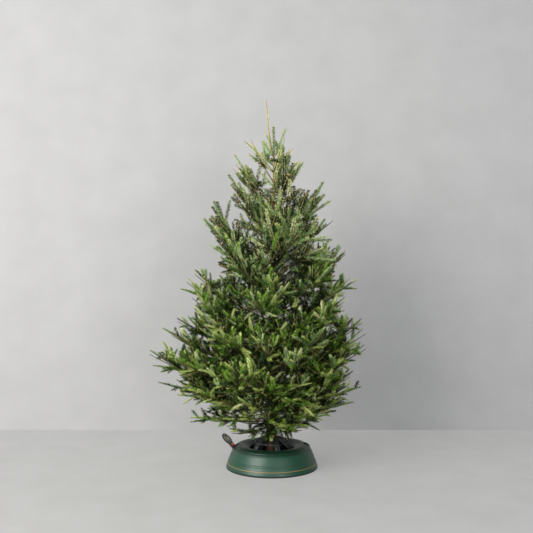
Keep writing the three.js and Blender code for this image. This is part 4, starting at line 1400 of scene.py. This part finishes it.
LOW_SHOOTS = [
    ((0.000, -0.028, 0.242), (0.002, -0.105, 0.166), 0.9, 0.7),
    ((0.012, -0.026, 0.232), (0.052, -0.090, 0.168), 0.9, 0.5),
    ((-0.012, -0.026, 0.236), (-0.048, -0.092, 0.170), 0.9, 0.8),
    ((0.004, -0.030, 0.206), (-0.030, -0.120, 0.158), 0.9, 0.7),
    ((0.024, -0.020, 0.214), (0.075, -0.110, 0.176), 1.0, 0.6),
    ((-0.026, -0.016, 0.204), (-0.112, -0.090, 0.166), 0.8, 0.2),
    ((0.026, 0.010, 0.220), (0.110, -0.030, 0.186), 1.0, 0.6),
    ((-0.020, -0.022, 0.226), (-0.080, -0.130, 0.196), 1.0, 0.7),
    ((0.010, 0.030, 0.214), (0.050, 0.130, 0.180), 1.0, 0.5),
    ((-0.022, 0.022, 0.210), (-0.090, 0.100, 0.176), 1.0, 0.5),
    ((0.010, -0.026, 0.250), (0.024, -0.130, 0.204), 1.0, 0.6),
    ((-0.016, -0.024, 0.262), (-0.044, -0.140, 0.226), 1.0, 0.3),
    ((0.020, -0.018, 0.268), (0.070, -0.140, 0.232), 1.0, 0.7),
]


BOUGH_STEPS = 30


def nearest_bough(place):
    """The point on a bough that is nearest to a place, among even steps along every bough."""
    points = (bough.point(step / BOUGH_STEPS) for bough, _ in crown
              for step in range(BOUGH_STEPS + 1))
    return min(points, key=lambda point: (point - Vector(place)).length)


def add_named_shoots(tier, shoots, forked, on_bough=False):
    """Straight twigs from rows of start, tip, needle length and tone, which fork if told."""
    for start, tip, needle, tone in shoots:
        start = nearest_bough(start) if on_bough else Vector(start)
        way = Vector(tip) - start
        side = way.cross(UP).normalized()
        twig = Twig(tier, start, way.normalized(), side, way.length, 0.0, 0.0, needle)
        twig.tone = tone
        twigs.append(twig)
        if forked:
            add_year_shoots(NAMED["size"], twig, twig.length * NAMED["over"],
                            FIRST_NODE["named"], order=1)


for bough, shoots in crown:
    carry_on(bough, shoots)
add_named_shoots("l", LEADER_SHOOTS, False)
add_named_shoots("a", LOW_SHOOTS, True)
add_named_shoots("a", SIDE_SHOOTS, True, on_bough=True)
add_named_shoots("e", INNER_SHOOTS, True)
for twig in twigs:
    twig.root_radius = TWIG_WOOD["root"] + TWIG_WOOD["by_length"] * twig.length
    belly = twig.point(BELLY)
    twig.depth = share_of_reach(belly) if belly.z < OPEN_TOP else 1.0

START, DIRECTION, TOP, BEND = (np.array([getattr(twig, key) for twig in twigs])
                               for key in ("start", "direction", "top", "bend"))
LENGTH, STEEPNESS, ROOT, TONE, DEPTH, SIZE = (
    np.array([getattr(twig, key) for twig in twigs])
    for key in ("length", "steep", "root_radius", "tone", "depth", "needle"))
TIER = np.array([twig.tier for twig in twigs])


def across_twigs(which, ahead):
    """Two directions square to a twig and to each other: up from its top, and aside."""
    top = unit(TOP[which] - (TOP[which] * ahead).sum(-1, keepdims=True) * ahead)
    return top, np.cross(ahead, top)


def along_twigs(which, share):
    """Points on twigs at shares of their lengths, and the twigs' own directions there."""
    share = share[:, None]
    way = DIRECTION[which] * share + BEND[which] * share**2
    return (START[which] + way * LENGTH[which][:, None],
            unit(DIRECTION[which] + BEND[which] * 2 * share))


# ---------------------------------------------------------------- needles
NEEDLE = {"length": 0.0158, "thin": 0.88, "half_width": 0.0017, "widest": 0.5, "fold": 0.0004,
          "varies": (0.84, 0.32), "fewest": 6}
# Depths in the crown, and the needles a metre of twig that they have.
A_METRE = ((0.45, 0.75), (690, 1150))
# The bare share of a twig at its root, what steepness adds to it, and the same at its tip.
BARE_ENDS = {"root": (0.03, 0.07), "tip": 0.05}
# Degrees without needles on each side of a twig's top and of its underside: level and steep.
GAPS = {"top": (16, 8), "low": (60, 12)}
# Shares of the twig, and the needles' lean there in degrees, for a level twig and a steep one.
LEAN = {"level": ([0, 0.75, 1], [62, 50, 24]), "steep": ([0, 0.9, 1], [60, 56, 38]),
        "varies": 16, "up": 0.10}
# Shares of the twig, and the needles' length there.
TAPER = {"level": ([0, 0.2, 0.8, 1], [0.75, 1, 1, 0.66]),
         "steep": ([0, 0.1, 0.9, 1], [0.80, 1, 1, 0.85])}
# What a needle's flat side faces: how much its twig's top, its tip and chance count.
FACING = {"top": (0.8, -0.5), "ahead": 0.3, "loose": (0.4, 1.2)}
TONE_TURN = 7  # spreads the twigs' tones, from 0 to 1, into starts for their needles' angles


def needle_places():
    """The twig that bears each needle, its number on it and its share of the way along it."""
    counts = np.maximum((LENGTH * np.interp(DEPTH, *A_METRE)).astype(int), NEEDLE["fewest"])
    which = np.repeat(np.arange(len(counts)), counts)
    index = np.arange(len(which)) - np.repeat(np.cumsum(counts) - counts, counts)
    noise = rng.random((6, len(which)))
    steep = STEEPNESS[which]
    bare = BARE_ENDS["root"][0] + BARE_ENDS["root"][1] * steep
    share = bare + (1 - bare) * (index + noise[0]) / counts[which]
    return which, index, np.minimum(share, 1 - BARE_ENDS["tip"] * steep), noise[1:]


def by_share(rows, share):
    """Two values by the share of the way along a twig: a level twig's and a steep one's."""
    return [np.interp(share, *rows[key]) for key in ("level", "steep")]


def needle_arrays():
    """Points of all needles, four to a needle, the twig that bears each and its place on it.

    Needles stand round a twig by the golden angle, apart from a gap along its top and one
    below it.  Each leans forward from its twig, less at the root than at the tip."""
    which, index, share, noise = needle_places()
    steep = STEEPNESS[which]
    point, ahead = along_twigs(which, share)
    top, aside = across_twigs(which, ahead)

    turn = (index * GOLDEN + TONE[which] * TONE_TURN) % 1
    top_gap, low_gap = (np.radians(between(GAPS[key], steep)) for key in ("top", "low"))
    around = (top_gap + turn * (math.pi - top_gap - low_gap)) * np.where(index % 2, 1, -1)
    lean = between(by_share(LEAN, share), steep) + LEAN["varies"] * (noise[0] - 0.5)
    lean = np.radians(lean)[:, None]
    out = np.cos(around)[:, None] * top + np.sin(around)[:, None] * aside
    direction = unit(np.cos(lean) * ahead + np.sin(lean) * out + LEAN["up"] * top)

    level, upright = by_share(TAPER, share)
    length = NEEDLE["length"] * between((level, NEEDLE["thin"] * upright), steep)
    least, more = NEEDLE["varies"]
    length = (length * (least + more * noise[1]) * SIZE[which])[:, None]
    facing_top, loose = (FACING[key][0] + FACING[key][1] * steep[:, None]
                         for key in ("top", "loose"))
    face = facing_top * top + FACING["ahead"] * ahead + loose * (noise[2:5].T - 0.5)
    face = unit(face - (face * direction).sum(-1, keepdims=True) * direction)
    width = np.cross(face, direction) * NEEDLE["half_width"]
    belly = point + direction * length * NEEDLE["widest"] + face * NEEDLE["fold"]
    tip = point + direction * length
    return np.stack([point, belly + width, tip, belly - width], 1), which, share


NEEDLE_FACES = np.array([(0, 2, 1), (0, 3, 2)])  # two halves, folded along the needle's middle


def needle_finish(name, colour):
    """One tone of the needles, a little waxy."""
    return plain(f"needles_{name}", linear(*colour), 0.42, Specular_IOR_Level=0.28)


# Two ramps from the darkest needles to the lightest: green ones low down, greyer ones high up.
GREENS = [needle_finish("deep", (11, 31, 3)), needle_finish("mid", (60, 102, 20)),
          needle_finish("fresh", (124, 167, 52)), needle_finish("lime", (200, 214, 126))]
GREYS = [needle_finish("shade", (36, 58, 20)), needle_finish("blue", (110, 144, 80)),
         needle_finish("sage", (174, 200, 134)), needle_finish("straw", (222, 226, 164))]
# A twig's level on its ramp is the number of limits that its tone is over.  They are given in
# the crown's core and on its outside, with the depths between which one turns to the other.
# The core's higher limits make its needles darker: partly older needles' own darker colour,
# partly painted shade.
LEVELS = {"inner": (0.70, 0.94, 1.0), "outer": (0.20, 0.48, 0.84), "between": (0.5, 0.85)}
# What moves each limit: a steep twig is darker, as painted shade, and low down the ramp's ends
# count for more, as painted shade and painted highlights.
STEEP_PAINTED_SHADE = {"by": 0.12, "each": (1, 0.8, 0.4)}
LOW_PAINTED_LIGHT = {"by": 0.10, "each": (1, 0, -1), "heights": (0.45, 0.75)}
# The share of twigs whose tips are a step lighter, less on steep ones, and where tips begin.
TIPPED = {"twigs": 0.45, "less": 0.4, "from": 0.8}
STRAY = {"needles": 0.12, "less": 0.7}  # a step off their twig's level, less on steep ones
PAINTED_GLINTS = 0.05  # the share of needles painted the lightest of their ramp: painted glints
# Heights between which the greyer ramp takes over, and its share of the twigs there.
GREYER = ((0.60, 1.22), (0.16, 1.0))
TIP_SPIN, RAMP_SPIN = 29, 17  # these spin a twig's tone into new numbers from 0 to 1
NEEDLE_GROUPS = ["ab", "c", "d", "e", "f", "g", "hi", "jkl"]


def needle_tones(which, share):
    """A finish for each needle: its twig's ramp and level, darker in the crown's core (older
    needles' own colour and painted shade) and on steep twigs (painted shade), with painted shade
    and highlights low down, a step lighter near the tip, here and there a step lighter or darker
    than its neighbours, and a few painted glints."""
    # Deeper in the crown the limits rise: older needles' darker colour, partly painted shade.
    start, end = LEVELS["between"]
    outer = np.clip((DEPTH - start) / (end - start), 0, 1)[:, None]
    limits = np.array(LEVELS["inner"]) * (1 - outer) + np.array(LEVELS["outer"]) * outer
    # Painted shade on steep twigs; low down, painted shade and painted highlights.
    limits = limits + STEEP_PAINTED_SHADE["by"] * STEEPNESS[:, None] * np.array(STEEP_PAINTED_SHADE["each"])
    low = np.interp(START[:, 2], LOW_PAINTED_LIGHT["heights"], [1, 0])[:, None]
    limits = limits + LOW_PAINTED_LIGHT["by"] * low * np.array(LOW_PAINTED_LIGHT["each"])
    level = (TONE[:, None] > limits).sum(1)[which]
    tipped = TONE * TIP_SPIN % 1 < TIPPED["twigs"] * (1 - TIPPED["less"] * STEEPNESS)
    stray = STRAY["needles"] * (1 - STRAY["less"] * STEEPNESS[which])
    draw = rng.random(len(which))
    level = level + (tipped[which] & (share > TIPPED["from"]))
    level = level + (draw > 1 - stray) - (draw < stray)
    # Painted glints: a few needles turned the lightest of their ramp.
    level = np.where(draw > 1 - PAINTED_GLINTS, len(GREENS) - 1, level)
    grey = (TONE * RAMP_SPIN % 1 < np.interp(START[:, 2], *GREYER))[which]
    return level.clip(0, len(GREENS) - 1) + len(GREENS) * grey


def build_needles():
    """The needles of each group of tiers, joined, with the finish that each is dealt."""
    corners, which, share = needle_arrays()
    tone = needle_tones(which, share)
    for group in NEEDLE_GROUPS:
        chosen = np.isin(TIER[which], list(group))
        faces = repeated(NEEDLE_FACES, int(chosen.sum()), corners.shape[1])
        piece = add_piece(f"needles_{group}", corners[chosen].reshape(-1, 3), [faces],
                          GREENS + GREYS, "needles", smooth=False,
                          face_finish=np.repeat(tone[chosen], len(NEEDLE_FACES)))
        masses = [f"foliage_{name}{i + 1}" for name, _, _, count, _ in TIERS if name in group
                  for i in range(count)]
        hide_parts(*masses)


# ---------------------------------------------------------------- twigs, buds and boughs
TWIG_SIDES = 3
TWIG_SHARES = np.array([0, 0.35, 0.7, 1])
TWIG_FINISHES = [plain("young_twig", linear(176, 158, 98), 0.6),
                 plain("old_twig", linear(62, 64, 30), 0.65)]
OLD_TONE = (0.24, 0.61)  # the tone from which a level twig looks old, and what steepness adds
# A bud's radius: the least, what chance adds and what steepness adds.
BUD = {"least": 0.0012, "varies": 0.0007, "steep": 0.0013, "sides": 5, "point": 3.2}
BUD_FINISHES = [plain("green_bud", linear(128, 132, 58), 0.5),
                plain("bud", linear(206, 172, 104), 0.5)]
RIPE_TONE = 0.25  # the tone up to which a level twig's bud is ripe


def build_twigs():
    """All fine twigs: three-sided tubes along their own curves, thinner towards the tip."""
    count = len(LENGTH)
    which = np.repeat(np.arange(count), len(TWIG_SHARES))
    share = np.tile(TWIG_SHARES, count)
    point, ahead = along_twigs(which, share)
    top, aside = across_twigs(which, ahead)
    end = TWIG_WOOD["end"] * (1 + TWIG_WOOD["steep"] * STEEPNESS[which])
    radius = ROOT[which] + (end - ROOT[which]) * share
    points = point[:, None] + rings(aside, top, TWIG_SIDES) * radius[:, None, None]
    each = len(TWIG_SHARES) * TWIG_SIDES
    tube = grid_faces(len(TWIG_SHARES), TWIG_SIDES)[:, ::-1]
    ends = np.array([(0, 1, 2), (each - 1, each - 2, each - 3)])
    faces = [repeated(pattern, count, each) for pattern in (tube, ends)]
    old = (TONE > OLD_TONE[0] + OLD_TONE[1] * STEEPNESS).astype(int)
    finish = np.concatenate([np.repeat(old, len(pattern)) for pattern in (tube, ends)])
    add_piece("twigs", points.reshape(-1, 3), faces, TWIG_FINISHES, "bark", face_finish=finish)


def build_buds():
    """A bud on the tip of every twig: a ring between two points."""
    count, sides = len(LENGTH), BUD["sides"]
    every = np.arange(count)
    point, ahead = along_twigs(every, np.ones(count))
    top, aside = across_twigs(every, ahead)
    size = BUD["least"] + (BUD["varies"] * rng.random(count) + BUD["steep"] * STEEPNESS)[:, None]
    ring = point[:, None] + size[:, None] * rings(aside, top, sides)
    ring = ring + (ahead * size)[:, None]
    tip = point + ahead * BUD["point"] * size
    corners = np.concatenate([(point - ahead * size)[:, None], ring, tip[:, None]], 1)
    number = 1 + np.arange(sides)
    pattern = np.concatenate([fan(0, number, True), fan(sides + 1, number, False)])
    ripe = (TONE < RIPE_TONE + STEEPNESS).astype(int)
    add_piece("buds", corners.reshape(-1, 3), [repeated(pattern, count, sides + 2)],
              BUD_FINISHES, "bark", face_finish=np.repeat(ripe, len(pattern)))


def bough_wood(bough, seed):
    """One bough's own wood, thick at its root and thin from near its tip on."""
    shares = np.linspace(0, 1, BOUGH_WOOD["stations"])
    path = np.array([bough.point(float(share)) for share in shares])
    late, thin = BOUGH_WOOD["late"]
    thick = BOUGH_WOOD["root"] + BOUGH_WOOD["by_length"] * bough.length
    radii = np.interp(shares, [0, late, 1], [thick, thin, BOUGH_WOOD["end"]])
    return wood_tube(path, radii, BOUGH_WOOD["sides"], BOUGH_WOOD["relief"], seed)


def shoot_wood(shoot, seed):
    """The bare wood of a shoot, from its start to the root of its spray."""
    shares = np.linspace(0, 1, SHOOT_WOOD["stations"])[:, None]
    path = between((np.array(shoot.start), np.array(shoot.root)), shares)
    radii = np.linspace(*SHOOT_WOOD["radii"], SHOOT_WOOD["stations"])
    return wood_tube(path, radii, SHOOT_WOOD["sides"], SHOOT_WOOD["relief"], seed)


def build_boughs():
    """The wood of the boughs and of every shoot that forks, with the bark's own relief."""
    parts = []
    for i, (bough, shoots) in enumerate(crown):
        parts.append(bough_wood(bough, i))
        parts += [shoot_wood(shoot, i * SHOOT_WOOD["seed_step"] + j)
                  for j, shoot in enumerate(shoots)
                  if shoot.wood_length >= SHOOT_WOOD["shortest"]]
    piece = add_piece("boughs", *merged(parts), [BOUGH_BARK], "bark")
    limbs = TIERS[0][3]
    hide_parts(*[f"limb_{LIMB_TIER}{i + 1}" for i in range(limbs)])


build_needles()
build_twigs()
build_buds()
build_boughs()

# ---------------------------------------------------------------- floor, backdrop and light
WALL_Y = 0.866
WALL_HEIGHT = 6.0
ROOM = 9.0
FLOOR_GLOW = 0.24  # painted light: the floor glows, so that shadows on it stay soft
GLOW_COLOUR = (1, 0.995, 0.985, 1)


def sheet(name, corners, material):
    """A flat sheet of the stage from its four corners."""
    points = np.array(corners, float)
    piece = add_piece(name, points, [np.array([(0, 1, 2, 3)])], [material], None, smooth=False)


def plaster(name, colour, second, glow=0.0):
    """Painted plaster in two close tones, which can glow."""
    material, tree, shader = new_finish(name, Roughness=0.85, Emission_Strength=glow,
                                        Emission_Color=GLOW_COLOUR)
    tint = placed(tree, MOTTLE, {"Colour": colour, "Second": second, "Scale": 4.5, "Amount": 0.7})
    tree.links.new(tint.outputs["Colour"], shader.inputs["Base Color"])
    return material


def one_sided(material):
    """The material made clear from behind."""
    tree = material.node_tree
    shader, output = tree.nodes["Principled BSDF"], tree.nodes["Material Output"]
    clear = node(tree, "ShaderNodeBsdfTransparent")
    behind = node(tree, "ShaderNodeNewGeometry").outputs["Backfacing"]
    mix = node(tree, "ShaderNodeMixShader", (), {0: behind, 1: shader.outputs[0],
                                                 2: clear.outputs[0]})
    tree.links.new(mix.outputs[0], output.inputs["Surface"])


FLOOR_PLASTER = plaster("floor_plaster", linear(150, 149, 147), linear(138, 137, 134), FLOOR_GLOW)
WALL_PLASTER = plaster("wall_plaster", linear(186, 185, 184), linear(178, 177, 176))
one_sided(WALL_PLASTER)
sheet("floor", [(-ROOM, -ROOM, 0), (ROOM, -ROOM, 0), (ROOM, ROOM, 0), (-ROOM, ROOM, 0)],
      FLOOR_PLASTER)
sheet("backdrop", [(-ROOM, WALL_Y, 0), (ROOM, WALL_Y, 0), (ROOM, WALL_Y, WALL_HEIGHT),
                   (-ROOM, WALL_Y, WALL_HEIGHT)], WALL_PLASTER)


def add_light(name, place, target, size, power, colour):
    """A square soft light that faces a target."""
    light = bpy.data.objects.new(name, bpy.data.lights.new(name, "AREA"))
    light.data.shape = "SQUARE"
    light.data.size = size
    light.data.energy = power
    light.data.color = colour
    light.location = place
    light.rotation_euler = (Vector(target) - Vector(place)).to_track_quat("-Z", "Y").to_euler()
    scene.collection.objects.link(light)


add_light("key", place=(-3.1, -3.2, 2.4), target=(0, 0, 0.8), size=3.0, power=198,
          colour=(1, 0.985, 0.955))
add_light("fill", place=(2.0, -4.6, 1.0), target=(0.3, 0, 0.5), size=2.0, power=56,
          colour=(0.97, 0.98, 1))

# The room's own light: strongest from the left and the front, weak from the right.
WORLD_LIGHT = {"towards": (-0.75, -0.55, -0.35), "least": 0.06, "most": 1.10,
               "colour": (0.92, 0.96, 1, 1)}
world = bpy.data.worlds.new("studio")
world.use_nodes = True
world_shader = world.node_tree.nodes["Background"]
world_shader.inputs["Color"].default_value = WORLD_LIGHT["colour"]
lit_way = node(world.node_tree, "ShaderNodeTexCoord").outputs["Generated"]
facing = node(world.node_tree, "ShaderNodeVectorMath",
              {"operation": "DOT_PRODUCT", 1: WORLD_LIGHT["towards"]}, {0: lit_way})
ramp = node(world.node_tree, "ShaderNodeMapRange",
            {"From Min": -1.0, "From Max": 1.0, "To Min": WORLD_LIGHT["least"],
             "To Max": WORLD_LIGHT["most"]}, {"Value": facing.outputs["Value"]})
world.node_tree.links.new(ramp.outputs["Result"], world_shader.inputs["Strength"])
scene.world = world
scene.view_settings.view_transform = "Standard"
